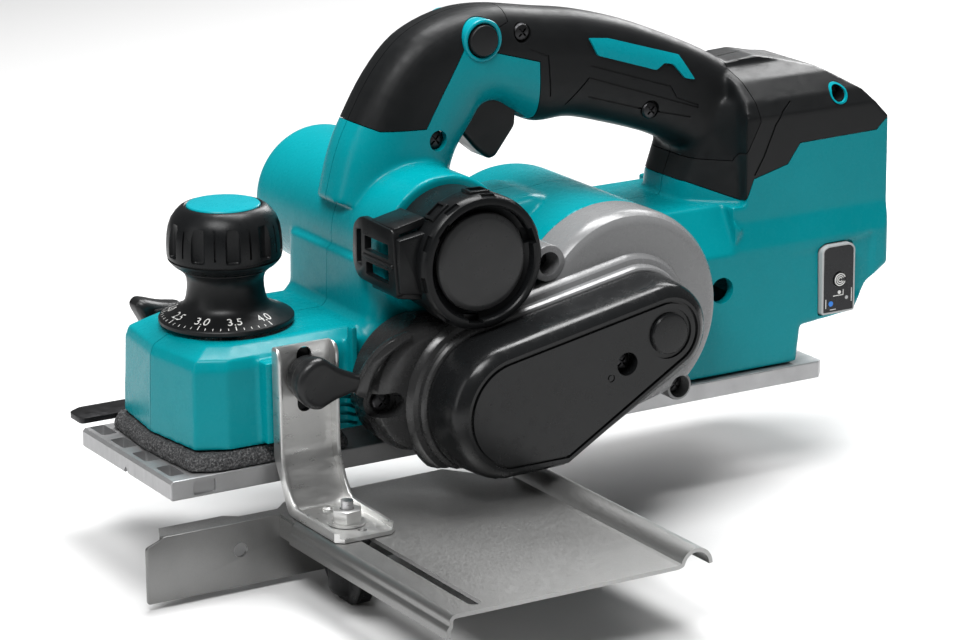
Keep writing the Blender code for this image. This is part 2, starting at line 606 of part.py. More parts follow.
# ---------------------------------------------------------------- controls
def controls():
    button = prism("lock_button", circle(LOCK_X, LOCK_Z, 6.7, 20), "y", -19, 19, BLACK)
    soften(button, 1.0, 2)
    outline = [(149.5, 124.5), (150.5, 131), (156, 135), (172, 134.5), (178, 130), (177.5, 121), (172, 114),
               (168, 109), (165, 108.3), (159, 113), (153, 120)]
    trigger = prism("trigger", outline, "y", -7.6, 7.6, DARK_GREY)
    soften(trigger, 1.6, 2, lambda a, b: a.y * b.y > 0)
    box("switch_body", (163, 193), (-9.5, 9.5), (140.5, 154), BLACK)
    box("controller_board", (270, 300), (-28, 28), (60, 72), GREEN)
    box("terminal_block", (317, 332), (-20, 20), (52, 92), BLACK)
    panel = prism("mode_panel", [(309.6, 27.2), (327, 27.2), (327, 56.8), (324.2, 57.8), (312.6, 57.8),
                                 (309.6, 56)], "y", -40.6, -37.2, GREY)
    cut(panel, prism("hole", circle(MODE_X, MODE_Z, 3.4, 20), "y", -60, -30))
    prism("mode_button", circle(MODE_X, MODE_Z, 3.1, 20), "y", -41.2, -37.6, DARK_GREY)
    for name, (x, z, face) in zip(("grip_screw_front", "grip_screw_rear"), GRIP_SCREWS):
        lathe(name, (x, z), "y", [(3.7, face), (3.7, face + 2.2), (1.6, face + 2.2), (1.6, 8.5)], 12, STEEL_PAINT)
    for name, x, z, y in (("housing_screw_top", 160.5, 77, -50), ("housing_screw_front", 86.5, 30, -52),
                          ("housing_screw_rear", 224, 15, -53)):
        lathe(name, (x, z), "y", [(4.0, y - 3.4), (4.0, y - 0.4), (1.9, y - 0.4), (1.9, -41.4)], 12, STEEL_PAINT)
    lathe("cover_screw", (179, 39.5), "y", [(3.9, -89.6), (3.9, -87.2), (2, -87.2), (2, -76)], 12, STEEL_PAINT)


# ---------------------------------------------------------------- edge guide
def edge_guide():
    low = PLATE_TOP + 0.3
    path = [(-44.2, 56.5), (-44.2, 11), (-50.5, 0.5), (-53, -5), (-56, low), (ARM_END, low), (ARM_END, low + STEEL),
            (-56.8, low + STEEL), (-54.4, -4.2), (-52, 1.1), (-45.8, 11.4), (-45.8, 56.5)]
    arm = prism("guide_arm", path, "x", ARM_X0, ARM_X1, ZINC)
    web = [(-44.2, 56.5), (-44.2, 11), (-50.5, 0.5), (-53, -5), (-56, low), (ARM_END, low), (ARM_END, low + 3.4),
           (-60, low + 4.6), (-55, 2), (-50.4, 12), (-50.4, 54), (-48, 56.5)]
    join(arm, prism("flange", web, "x", ARM_X0, ARM_X0 + STEEL), prism("flange", web, "x", ARM_X1 - STEEL, ARM_X1))
    cut(arm, prism("bolt_hole", circle(BOLT_X, BOLT_Y, 2.9, 20), "z", -20, 5))
    cut(arm, prism("screw_slot", arc(LEVER_X, 52, 3.3, 0, 180, 8) + arc(LEVER_X, 32, 3.3, 180, 360, 8), "y",
                   -60, -30))
    lever = prism("arm_lever", circle(LEVER_X, LEVER_Z, 3.0, 20), "y", -52, -39, BLACK)
    knob = prism("wing", arc(LEVER_X - 0.5, LEVER_Z, 10.8, 52, 300, 18) +
                 [(70, LEVER_Z - 6), (77, LEVER_Z - 2.6), (76.6, LEVER_Z - 0.6), (68, LEVER_Z + 4)], "y", -61.5, -51)
    soften(knob, 1.6, 2)
    join(lever, knob)

    top, under = PLATE_TOP, PLATE_TOP - STEEL
    plate = prism("guide_plate", [(42, -184), (146, -184), (146, -62), (124, -37), (50, -39), (44, -45), (27, -45),
                                  (22, -40), (-6, -40), (-10, -50.2), (42, -51.8)], "z", under, top, ZINC)
    fence = prism("fence", [(-16.5, -36), (124, -36), (124, top), (-10, top), (-16.5, top - 2.5)], "y",
                  -51.8, -50.2)
    skirt = prism("skirt", [(42, -18.6), (43.6, -18.6), (43.6, under + 0.6), (42, under + 0.6)], "y", -184, -51)
    roll = arc(149.5, under, 7.2, 180, 0, 10) + arc(149.5, under, 5.6, 0, 180, 10)
    curl = prism("curl", roll, "y", -184, -62)
    join(plate, fence, skirt, curl)
    cut(plate, prism("slot", [(53.5, -179), (59.1, -179), (59.1, -60), (53.5, -60)], "z", -20, 5))
    cut(plate, prism("hole", circle(24, -21, 3.0, 20), "y", -60, -45))

    prism("guide_bolt", circle(BOLT_X, BOLT_Y, 2.5, 20), "z", -24, 2.0, STEEL_PAINT)
    nut = prism("guide_nut", circle(BOLT_X, BOLT_Y, 6.2, 6), "z", low + STEEL + 0.3, -1.4, ZINC)
    cut(nut, prism("hole", circle(BOLT_X, BOLT_Y, 2.8, 20), "z", -20, 5))
    knob = lathe("guide_knob", (BOLT_X, BOLT_Y), "z", [(5, -36), (7, -35.2), (8, -33), (8, -17), (9.5, -15),
                                                      (9.5, -11.6)], 24, BLACK)
    wing = prism("wing", [(-16, -37), (-10, -38.5), (10, -38.5), (16, -37), (17, -30), (11, -19.5), (-11, -19.5),
                          (-17, -30)], "x", BOLT_X - 3.4, BOLT_X + 3.4)
    for vertex in wing.data.vertices:
        vertex.co.y += BOLT_Y * MM
    soften(wing, 2.0, 2)
    join(knob, wing)
    cut(knob, prism("hole", circle(BOLT_X, BOLT_Y, 2.8, 20), "z", -26, 0))


def depth_stop():
    stop = box("depth_stop", (35, 51), (41.4, 43.6), (9.5, 52), STEEL_PAINT)
    join(stop, box("sole", (0, 51), (41.4, 57), (9.5, 11.7)))
    cut(stop, prism("slot", arc(STOP_X, 46, 3.3, 0, 180, 8) + arc(STOP_X, 20, 3.3, 180, 360, 8), "y", 30, 60))
    lever = prism("stop_lever", circle(STOP_X, STOP_Z, 3.0, 20), "y", 34.9, 46.2, BLACK)
    knob = prism("wing", arc(STOP_X, STOP_Z, 9.5, 160, 400, 16) +
                 [(46, STOP_Z + 8.5), (34, STOP_Z + 13), (30, STOP_Z + 12)], "y", 45, 55)
    soften(knob, 1.6, 2)
    join(lever, knob)


PIVOTS = {
    (KNOB_X, 0, 8): ("front_shoe",),
    (KNOB_X, 0, 57): ("adjusting_bolt", "depth_dial", "depth_knob", "knob_disc"),
    (DRUM_X, 0, DRUM_Z): ("cutter_drum", "blade_1", "blade_2", "blade_clamp_1", "blade_clamp_2",
                          "driven_pulley"),
    (MOTOR_X, 0, MOTOR_Z): ("motor_shaft", "rotor", "fan", "drive_pulley"),
    (TUBE_X, -66, TUBE_Z): ("chute_cover", "chute_disc"),
    (TRIGGER_X, 0, TRIGGER_Z): ("trigger",),
    (LOCK_X, 0, LOCK_Z): ("lock_button",),
    (MODE_X, -41, MODE_Z): ("mode_button",),
    (LEVER_X, -51, LEVER_Z): ("arm_lever",),
    (BOLT_X, BOLT_Y, PLATE_TOP): ("guide_plate", "guide_knob"),
    (STOP_X, 42, 10): ("depth_stop",),
    (STOP_X, 45, STOP_Z): ("stop_lever",),
    (FOOT_X, FOOT_Y, FOOT_Z): ("rear_foot",),
}

casings()
base()
depth_setting()
cutter()
drive()
belt_side()
chip_tube()
controls()
edge_guide()
depth_stop()
for point, names in PIVOTS.items():
    for name in names:
        set_origin(bpy.data.objects[name], *point)
for item in bpy.data.objects:
    smooth(item)
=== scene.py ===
import math
import bpy
import bmesh
from mathutils import Matrix, Vector


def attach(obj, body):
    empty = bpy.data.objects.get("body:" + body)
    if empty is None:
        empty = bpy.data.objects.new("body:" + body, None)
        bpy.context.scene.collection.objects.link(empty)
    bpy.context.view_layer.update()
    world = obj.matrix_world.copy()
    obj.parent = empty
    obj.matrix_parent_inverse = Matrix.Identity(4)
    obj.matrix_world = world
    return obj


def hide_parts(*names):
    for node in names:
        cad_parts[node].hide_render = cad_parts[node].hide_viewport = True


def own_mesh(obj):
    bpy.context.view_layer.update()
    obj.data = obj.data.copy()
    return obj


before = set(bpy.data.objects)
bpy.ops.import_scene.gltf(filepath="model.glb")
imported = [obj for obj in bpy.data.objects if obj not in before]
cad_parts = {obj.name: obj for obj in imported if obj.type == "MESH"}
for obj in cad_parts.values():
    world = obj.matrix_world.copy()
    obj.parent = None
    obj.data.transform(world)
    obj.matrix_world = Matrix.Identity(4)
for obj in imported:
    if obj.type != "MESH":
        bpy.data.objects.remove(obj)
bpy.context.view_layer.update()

# Millimetres: x from the front edge of the front shoe, y across the body, z up from the sole.
# The belt and the edge guide are on the -y side, which the names call left.
MM = 0.001
ORIGIN_X = 226.0
SEAM = 0.18
TUBE_R = 29.3
KNOB_X = 46.5
# Places in the side view, as (x, z).
TUBE = (124.0, 85.0)
DRUM = (129.0, 27.0)
MOTOR = (199.0, 49.0)
LOCK = (156.6, 160.6)
MODE = (318.8, 42.1)
LUG = (321.5, 121.8)
ARM_LEVER = (57.0, 43.5)
STOP_LEVER = (43.0, 44.0)
BOSS_SCREW = (135.5, 121.8)
COVER_SCREW = (179.0, 39.5)
TOP_SCREW, FRONT_SCREW, REAR_SCREW = (160.5, 77.0), (86.5, 30.0), (224.0, 15.0)
# Grip screws, as (x, z, y of the casing round the head).
GRIP_SCREWS = ((176.4, 161.3, -15.8), (238.0, 121.5, -16.8))
# The guide bolt in plan, as (x, y).
BOLT = (56.3, -80.0)
SIDES = ((-1, "left"), (1, "right"))


# ---------------------------------------------------------------- mesh helpers (millimetres)
def place(x, y, z):
    """Turns the script's millimetres into the frame's metres."""
    return ((x - ORIGIN_X) * MM, y * MM, z * MM)


def add(name, data):
    """A new object in the scene."""
    item = bpy.data.objects.new(name, data)
    bpy.context.scene.collection.objects.link(item)
    return item


def solid(name, points, faces):
    """A closed mesh with its faces turned outwards."""
    data = bpy.data.meshes.new(name)
    data.from_pydata([place(*p) for p in points], [], faces)
    part = add(name, data)
    body = bmesh.new()
    body.from_mesh(data)
    bmesh.ops.recalc_face_normals(body, faces=body.faces)
    if body.calc_volume() < 0:
        bmesh.ops.reverse_faces(body, faces=body.faces)
    body.to_mesh(data)
    body.free()
    return part


def rings(name, loops):
    """A skin over loops of equal length, closed at both ends."""
    count = len(loops[0])
    points = [p for loop in loops for p in loop]
    faces = [list(range(count))[::-1], [len(points) - count + i for i in range(count)]]
    for row in range(len(loops) - 1):
        for i in range(count):
            j = (i + 1) % count
            a = row * count
            faces.append([a + i, a + j, a + count + j, a + count + i])
    return solid(name, points, faces)


def prism(name, outline, axis, low, high):
    """An outline drawn out along an axis; it is (x, z) for y, (x, y) for z and (y, z) for x."""
    loops = []
    for w in (low, high):
        if axis == "y":
            loops.append([(u, w, v) for u, v in outline])
        elif axis == "z":
            loops.append([(u, v, w) for u, v in outline])
        else:
            loops.append([(w, u, v) for u, v in outline])
    return rings(name, loops)


def box(name, x, y, z):
    return prism(name, [(x[0], y[0]), (x[1], y[0]), (x[1], y[1]), (x[0], y[1])], "z", z[0], z[1])


def arc(cx, cy, r, start, end, steps):
    out = []
    for i in range(steps + 1):
        a = math.radians(start + (end - start) * i / steps)
        out.append((cx + r * math.cos(a), cy + r * math.sin(a)))
    return out


def circle(cx, cy, r, steps=48):
    return arc(cx, cy, r, 0, 360 - 360 / steps, steps - 1)


def lathe(name, centre, axis, profile, steps=72):
    """Turns a closed or open profile of (radius, height) round an axis."""
    closed = profile[0] == profile[-1]
    rows = profile[:-1] if closed else profile
    points, faces = [], []
    for r, h in rows:
        for i in range(steps):
            a = math.tau * i / steps
            u, v = centre[0] + r * math.cos(a), centre[1] + r * math.sin(a)
            points.append((u, h, v) if axis == "y" else (u, v, h))
    n = len(rows)
    for k in range(n if closed else n - 1):
        m = (k + 1) % n
        for i in range(steps):
            j = (i + 1) % steps
            faces.append([k * steps + i, k * steps + j, m * steps + j, m * steps + i])
    if not closed:
        faces.append(list(range(steps)))
        faces.append([(n - 1) * steps + i for i in range(steps)])
    return solid(name, points, faces)


def combine(part, others, operation):
    for other in others:
        step = part.modifiers.new("shape", "BOOLEAN")
        step.operation = operation
        step.solver = "MANIFOLD"
        step.object = other
        bake(part)
        bpy.data.objects.remove(other)
    return part


def bake(part):
    bpy.context.view_layer.update()
    graph = bpy.context.evaluated_depsgraph_get()
    data = bpy.data.meshes.new_from_object(part.evaluated_get(graph))
    part.modifiers.clear()
    part.data = data
    return part


def join(part, *others):
    return combine(part, others, "UNION")


def cut(part, *others):
    return combine(part, others, "DIFFERENCE")


def keep(part, *others):
    return combine(part, others, "INTERSECT")


def copy_of(part, name):
    twin = part.copy()
    twin.data = part.data.copy()
    twin.name = name
    bpy.context.scene.collection.objects.link(twin)
    return twin


def soften(part, width, steps=2, test=None, sharp=25):
    """Bevels the edges sharper than sharp degrees whose two ends pass the test."""
    body = bmesh.new()
    body.from_mesh(part.data)
    edges = []
    for edge in body.edges:
        if len(edge.link_faces) != 2 or edge.calc_face_angle() < math.radians(sharp):
            continue
        a, b = (v.co / MM + Vector((ORIGIN_X, 0, 0)) for v in edge.verts)
        if test is None or test(a, b):
            edges.append(edge)
    bmesh.ops.bevel(body, geom=edges, offset=width * MM, segments=steps, profile=0.5,
                    affect="EDGES", clamp_overlap=True)
    body.to_mesh(part.data)
    body.free()
    return part


def remesh(part, size, smooth=3, ratio=None):
    """Rebuilds the surface in one skin, as moulding does, and smooths it."""
    step = part.modifiers.new("skin", "REMESH")
    step.mode = "VOXEL"
    step.voxel_size = size * MM
    if smooth:
        step = part.modifiers.new("soft", "SMOOTH")
        step.factor = 0.5
        step.iterations = smooth
    if ratio:
        step = part.modifiers.new("light", "DECIMATE")
        step.ratio = ratio
    return bake(part)


def grown(outline, amount):
    """The outline moved outwards by amount."""
    count = len(outline)
    area = sum(outline[i][0] * outline[(i + 1) % count][1] - outline[(i + 1) % count][0] * outline[i][1]
               for i in range(count))
    side = 1 if area > 0 else -1
    out = []
    for i in range(count):
        p, q, r = (Vector(outline[(i + k) % count]) for k in (-1, 0, 1))
        a, b = (q - p).normalized(), (r - q).normalized()
        normal_a, normal_b = Vector((a.y, -a.x)) * side, Vector((b.y, -b.x)) * side
        middle = (normal_a + normal_b).normalized()
        out.append(tuple(q + middle * (amount / max(middle.dot(normal_a), 0.4))))
    return out


def bend(p, q, r, radius, steps):
    """Points of the curve that rounds the corner q between p and r."""
    reach = min(radius, (p - q).length * 0.45, (r - q).length * 0.45)
    a, b = q + (p - q).normalized() * reach, q + (r - q).normalized() * reach
    times = [k / steps for k in range(steps + 1)]
    return [a * (1 - t) ** 2 + q * (2 * t * (1 - t)) + b * t * t for t in times]


def rounded(outline, radius, steps=4):
    """The outline with its corners rounded."""
    out = []
    count = len(outline)
    for i in range(count):
        p, q, r = (Vector(outline[(i + k) % count]) for k in (-1, 0, 1))
        out += [tuple(spot) for spot in bend(p, q, r, radius, steps)]
    return out


def smooth(part, angle=32):
    part.data.polygons.foreach_set("use_smooth", [True] * len(part.data.polygons))
    part.data.update()
    part.data.set_sharp_from_angle(angle=math.radians(angle))


def finish_piece(part, look, body, node=None, angle=32):
    """Gives a piece its look and its body, and hides the CAD node it stands for."""
    part.data.materials.clear()
    part.data.materials.append(look)
    smooth(part, angle)
    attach(part, body)
    if node:
        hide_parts(node)
    return part


# ---------------------------------------------------------------- materials
def blank(name, rough, metal=0.0):
    look = bpy.data.materials.new(name)
    look.use_nodes = True
    shader = look.node_tree.nodes["Principled BSDF"]
    shader.inputs["Roughness"].default_value = rough
    shader.inputs["Metallic"].default_value = metal
    return look, look.node_tree, shader


def noise(tree, scale, detail=3.0, rough=0.5, stretch=None):
    place_node = tree.nodes.get("place") or tree.nodes.new("ShaderNodeTexCoord")
    place_node.name = "place"
    texture = tree.nodes.new("ShaderNodeTexNoise")
    texture.inputs["Scale"].default_value = scale
    texture.inputs["Detail"].default_value = detail
    texture.inputs["Roughness"].default_value = rough
    source = place_node.outputs["Object"]
    if stretch:
        mapping = tree.nodes.new("ShaderNodeMapping")
        mapping.inputs["Scale"].default_value = stretch
        tree.links.new(source, mapping.inputs["Vector"])
        source = mapping.outputs["Vector"]
    tree.links.new(source, texture.inputs["Vector"])
    return texture.outputs["Fac"]


def ramp(tree, source, stops):
    item = tree.nodes.new("ShaderNodeValToRGB")
    bar = item.color_ramp
    while len(bar.elements) < len(stops):
        bar.elements.new(0.5)
    for element, (spot, colour) in zip(bar.elements, stops):
        element.position = spot
        element.color = colour if len(colour) == 4 else (*colour, 1)
    tree.links.new(source, item.inputs["Fac"])
    return item.outputs["Color"]


def spread(tree, source, low, high, start=0.3, end=0.7):
    item = tree.nodes.new("ShaderNodeMapRange")
    item.inputs["From Min"].default_value = start
    item.inputs["From Max"].default_value = end
    item.inputs["To Min"].default_value = low
    item.inputs["To Max"].default_value = high
    tree.links.new(source, item.inputs["Value"])
    return item.outputs["Result"]


def bump(tree, shader, source, strength, distance, below=None):
    item = tree.nodes.new("ShaderNodeBump")
    item.inputs["Strength"].default_value = strength
    item.inputs["Distance"].default_value = distance * MM
    tree.links.new(source, item.inputs["Height"])
    if below:
        tree.links.new(below, item.inputs["Normal"])
    tree.links.new(item.outputs["Normal"], shader.inputs["Normal"])
    return item.outputs["Normal"]


def painted_shade_towards_front(tree, tone, start, end, factor):
    """Painted shade: darkens the tone by factor towards the front, from x = end to x = start (millimetres).
    """
    split = tree.nodes.new("ShaderNodeSeparateXYZ")
    tree.links.new(tree.nodes["place"].outputs["Object"], split.inputs["Vector"])
    level = spread(tree, split.outputs["X"], factor, 1.0, (start - ORIGIN_X) * MM, (end - ORIGIN_X) * MM)
    mix = tree.nodes.new("ShaderNodeVectorMath")
    mix.operation = "SCALE"
    tree.links.new(tone, mix.inputs["Vector"])
    tree.links.new(level, mix.inputs["Scale"])
    return mix.outputs["Vector"]


def shade(colour, factor):
    return tuple(min(1.0, c * factor) for c in colour[:3])


def plastic(name, colour, rough, grain=2600, depth=0.05, vary=0.10, gloss=0.5, strength=0.35, painted_shade=None):
    """Moulded plastic: spark-eroded grain, slight tone drift and handling marks."""
    look, tree, shader = blank(name, rough)
    shader.inputs["Specular IOR Level"].default_value = gloss
    drift = noise(tree, 22, 4, 0.6)
    tone = ramp(tree, drift, [(0.25, shade(colour, 1 - vary)), (0.5, colour), (0.8, shade(colour, 1 + vary))])
    # painted shade, where asked: the tone darkens towards the front
    if painted_shade:
        tone = painted_shade_towards_front(tree, tone, *painted_shade)
    tree.links.new(tone, shader.inputs["Base Color"])
    marks = noise(tree, 180, 6, 0.7)
    tree.links.new(spread(tree, marks, rough - 0.06, rough + 0.10), shader.inputs["Roughness"])
    first = bump(tree, shader, noise(tree, grain, 2, 0.5), strength, depth)
    bump(tree, shader, drift, 0.06, 0.5, first)
    return look


def metal(name, colour, rough, streak=(1, 1, 1), scale=260, depth=0.03, vary=0.12, strength=0.25,
          metallic=1.0, painted_shade=None):
    """Plated or machined metal: cloudy tone, fine scratches along one direction."""
    look, tree, shader = blank(name, rough, metallic)
    cloud = noise(tree, 60, 5, 0.65)
    tone = ramp(tree, cloud, [(0.2, shade(colour, 1 - vary)), (0.5, colour), (0.85, shade(colour, 1 + vary))])
    # painted shade, where asked: the tone darkens towards the front
    if painted_shade:
        tone = painted_shade_towards_front(tree, tone, *painted_shade)
    tree.links.new(tone, shader.inputs["Base Color"])
    lines = noise(tree, scale, 6, 0.7, streak)
    tree.links.new(spread(tree, lines, rough - 0.08, rough + 0.16), shader.inputs["Roughness"])
    first = bump(tree, shader, lines, strength, depth)
    bump(tree, shader, noise(tree, 900, 3, 0.6), 0.08, 0.02, first)
    return look


def foam_look():
    """Open-cell foam: dark cells between pale walls."""
    look, tree, shader = blank("foam", 0.95)
    spots = tree.nodes.new("ShaderNodeTexVoronoi")
    spots.inputs["Scale"].default_value = 700
    holder = tree.nodes.new("ShaderNodeTexCoord")
    tree.links.new(holder.outputs["Object"], spots.inputs["Vector"])
    mixed = noise(tree, 1300, 4, 0.7)
    tone = ramp(tree, mixed, [(0.3, (0.008, 0.008, 0.009)), (0.5, (0.045, 0.045, 0.047)),
                              (0.68, (0.19, 0.19, 0.19))])
    tree.links.new(tone, shader.inputs["Base Color"])
    first = bump(tree, shader, spots.outputs["Distance"], 0.9, 0.7)
    bump(tree, shader, mixed, 0.8, 0.5, first)
    return look


TEAL = plastic("teal plastic", (0.0, 0.235, 0.270), 0.25, grain=2200, depth=0.004, vary=0.06, gloss=0.15,
               strength=0.06)
RUBBER = plastic("grip rubber", (0.0075, 0.008, 0.0085), 0.40, grain=1500, depth=0.03, vary=0.2, gloss=0.17,
                 strength=0.2)
BLACK = plastic("black plastic", (0.0065, 0.007, 0.0075), 0.30, grain=2400, depth=0.03, vary=0.2, gloss=0.17,
                strength=0.15)
COVER = plastic("belt cover plastic", (0.0085, 0.009, 0.0095), 0.22, grain=2600, depth=0.015,
                vary=0.2, gloss=0.30, strength=0.08)
LEVER = plastic("lever plastic", (0.011, 0.0115, 0.012), 0.30, grain=2000, depth=0.03, vary=0.2, gloss=0.3,
                strength=0.15)
TRIGGER = plastic("trigger plastic", (0.008, 0.0085, 0.009), 0.32, grain=2200, depth=0.03,
                  vary=0.15, gloss=0.22, strength=0.15)
SATIN = plastic("satin black plastic", (0.010, 0.0105, 0.011), 0.36, grain=1900, depth=0.03,
                vary=0.15, gloss=0.22, strength=0.2)
DISC = plastic("disc plastic", (0.022, 0.0225, 0.023), 0.30, grain=2000, depth=0.03, vary=0.12, gloss=0.3,
               strength=0.15)
DIAL = plastic("dial plastic", (0.008, 0.0085, 0.009), 0.34, grain=2600, depth=0.02, vary=0.15, gloss=0.22,
               strength=0.15)
# The grey casting's tone is darkened towards its front lobe, from x 170 to x 112, as painted shade.
GREY = plastic("grey painted casting", (0.195, 0.197, 0.200), 0.24, grain=1700, depth=0.02,
               vary=0.08, gloss=0.5, strength=0.12, painted_shade=(112, 170, 0.12))
INLAY = plastic("teal inlay", (0.0, 0.25, 0.30), 0.27, grain=2600, depth=0.002,
                vary=0.05, gloss=0.22, strength=0.05)
PANEL = plastic("panel grey", (0.42, 0.43, 0.43), 0.38, grain=2400, depth=0.03)
LABEL = plastic("panel film", (0.012, 0.0125, 0.014), 0.25, grain=3000, depth=0.01,
                vary=0.1, strength=0.1, gloss=0.3)
WHITE = plastic("printed white", (0.72, 0.72, 0.70), 0.5, grain=3000, depth=0.01, vary=0.05)
BLUE = plastic("printed blue", (0.02, 0.22, 0.75), 0.4, grain=3000, depth=0.01, vary=0.05)
SHOE = metal("cast aluminium", (0.40, 0.40, 0.405), 0.40, (1, 6, 1), 90, 0.02, 0.10, 0.2, 0.75)
ZINC = metal("zinc sheet", (0.66, 0.66, 0.65), 0.31, (1, 1, 5), 70, 0.012, 0.07, 0.12, 0.92)
# The guide plate: the zinc sheet made darker as painted shade, and darker again towards the front, from x 75
# to x 30, as painted shade.
SHADED_ZINC = metal("zinc sheet in painted shade", (0.37, 0.37, 0.365), 0.36, (1, 1, 1), 1600, 0.001,
              0.07, 0.04, 0.93, painted_shade=(30, 75, 0.6))
BRIGHT = metal("bright steel", (0.55, 0.55, 0.56), 0.30, (1, 1, 8), 200, 0.03)
SCREW = metal("black oxide", (0.045, 0.045, 0.047), 0.38, (1, 1, 1), 300, 0.03)
FOAM = foam_look()
COPPER = metal("copper windings", (0.62, 0.27, 0.13), 0.38, (6, 1, 6), 300, 0.08)
BELT = plastic("belt rubber", (0.012, 0.012, 0.013), 0.6, grain=1200, depth=0.08)
BOARD = plastic("circuit board", (0.015, 0.12, 0.05), 0.45, grain=900, depth=0.08)


# ---------------------------------------------------------------- casing
PLAN = [(11.2, 0), (15, -32), (27, -38.2), (44, -38.6), (100, -38.6),
        (100, 38.6), (44, 38.6), (27, 38.2), (15, 32)]
REAR = [(238, 8.3), (299, 8.3), (301, 23.5), (328.7, 26), (335, 37.4), (346.4, 45), (346.4, 109.7),
        (334, 122.5), (320, 131.5), (294, 137.5), (275, 136), (273, 112), (273, 80), (238, 80)]
HANDLE = [
    ((92, 100), (143, 88), 18), ((97, 118), (146, 106), 18), ((103, 131), (150, 116), 17.5),
    ((114, 149), (156, 124), 17), ((128, 163), (161, 131), 17), ((147, 170.6), (168, 132), 17),
    ((165.6, 172), (176, 127), 17), ((190, 168.3), (187, 121), 16.5), ((210, 165), (203, 121), 16.5),
    ((232, 158.8), (222, 116), 16.5), ((254, 150), (243, 109), 17), ((271, 142), (257, 102), 18.5),
    ((284, 134), (269, 94), 21)]
FRONT_ZONE = ([(70, 150), (92, 136), (110, 128.3), (130, 127.3)] + arc(*LOCK, 8.8, 200, 25, 18)
              + [(170.5, 166), (172, 185), (70, 185)])
GRIP_ZONE = ([(172, 185), (170.5, 166)] + arc(*LOCK, 8.8, 25, -42, 8)
             + [(184, 148.5), (184.5, 124.5), (180, 119), (180, 104), (247, 104), (256, 98), (271, 98),
                (280, 115), (277.5, 145), (270, 185)])
CAP_ZONE = [(270, 185), (277.5, 145), (280, 115), (271, 98), (256, 98), (247, 104), (240, 104), (240, 88.5),
            (256, 88.5), (273, 81.5), (276.8, 91), (294, 95.2), (300.3, 103.6), (340, 104.3), (344.5, 108.3),
            (352, 112), (352, 185)]


def spline(rows, per=4):
    """Catmull-Rom points through the rows of numbers."""
    out = []
    for i in range(len(rows) - 1):
        a, b, c, d = (rows[max(min(k, len(rows) - 1), 0)] for k in (i - 1, i, i + 1, i + 2))
        for s in range(per):
            t = s / per
            out.append([0.5 * (2 * q + (r - p) * t + (2 * p - 5 * q + 4 * r - u) * t * t
                               + (3 * q - p - 3 * r + u) * t ** 3) for p, q, r, u in zip(a, b, c, d)])
    out.append(list(rows[-1]))
    return out


def handle_loops(inset, steps=40):
    """Sections of the handle from its front root to the battery end, inset from its surface."""
    rows = [[*outer, *inner, half] for outer, inner, half in HANDLE]
    loops = []
    for row in spline(rows):
        top, low, half = Vector(row[:2]), Vector(row[2:4]), row[4]
        middle, reach = (top + low) / 2, (top - low) / 2
        reach = reach * (1 - inset / reach.length)
        loop = []
        for i in range(steps):
            a = math.tau * i / steps
            c, s = math.cos(a), math.sin(a)
            point = middle + reach * math.copysign(abs(c) ** 0.72, c)
            loop.append((point.x, math.copysign(abs(s) ** 0.72, s) * (half - inset), point.y))
        loops.append(loop)
    return loops


def shoulder(side, out=0.0):
    """What the sloping roof of the battery end leaves out on one side."""
    roof = [(38.8, 112), (33, 123), (24, 130), (12, 134.5), (10, 150), (50, 150), (50, 112)]
    return prism("shoulder", [(side * (y + out), z + out) for y, z in roof], "x", 220, 380)


def side_slope(side, outer, inner, top, x_low, x_high):
    """A slope along the side, from the outer face at z 60 inwards to the given top."""
    section = [(side * outer, 60), (side * inner, top), (side * inner, 145), (side * 62, 145),
               (side * 62, 60)]
    return prism("slope", section, "x", x_low, x_high)


def side_facet(side):
    """The flat cut low on the side of the battery end."""
    corners = [(286, 55, 38.8), (309.7, 24.5, 38.8), (338, 36, 36.9), (338, 59.5, 36.9)]
    return rings("facet", [[(x, side * y, z) for x, z, y in corners],
                           [(x, side * 62, z) for x, z, y in corners]])


def blend(part, times, test):
    """Softens the surface where the test holds."""
    group = part.vertex_groups.new(name="blend")
    chosen = [v.index for v in part.data.vertices
              if test(v.co.x / MM + ORIGIN_X, v.co.y / MM, v.co.z / MM)]
    group.add(chosen, 1.0, "REPLACE")
    step = part.modifiers.new("blend", "SMOOTH")
    step.factor = 0.5
    step.iterations = times
    step.vertex_group = group.name
    bake(part)
    part.vertex_groups.clear()


def front_shell():
    loops = []
    for z, scale in ((15.5, 1.0), (47.5, 0.975), (51.5, 0.945), (55.6, 0.78)):
        loops.append([(60 + (x - 60) * scale, y * scale, z) for x, y in PLAN])
    return rings("shell", loops)


def middle_shell():
    middle = [(84, 17), (150, 17), (150, 8.3), (262, 8.3), (262, 80), (222, 80), (150, 84), (112, 84),
              (92.5, 80), (92, 58), (86, 52), (84, 50)]
    body = prism("body", middle, "y", -38.6, 38.6)
    soften(body, 9, 5, lambda a, b: min(a.z, b.z) > 40 and abs(a.y) > 38 and a.y * b.y > 0)
    tube = lathe("tube", TUBE, "y", [(20, -42), (TUBE_R - 1, -42), (TUBE_R, -41), (TUBE_R, 63), (29.0, 66),
                                     (28, 68), (26.5, 70), (25, 71.4), (23.5, 72)], 96)
    bulge = lathe("bulge", MOTOR, "y", [(40, -41), (44, -41), (44, 36), (43.4, 39), (41.6, 42), (38.5, 45),
                                        (34, 47.5)], 96)
    saddle = prism("saddle", [(120, 70), (126, 87), (150, 91.5), (180, 93.5), (204, 88.5), (222, 81.5),
                              (230, 68)], "y", -22, 22)
    soften(saddle, 9, 5, lambda a, b: min(a.z, b.z) > 75 and a.y * b.y > 0)
    return body, tube, bulge, saddle


def battery_end():
    rear = prism("rear", REAR, "y", -38.6, 38.6)
    soften(rear, 2.5, 3, lambda a, b: a.y * b.y > 0 and min(a.z, b.z) < 100 and min(a.x, b.x) > 290)
    for side, _ in SIDES:
        cut(rear, shoulder(side), side_slope(side, 38.8, 36.3, 72.5, 266, 380), side_facet(side))
    return rear


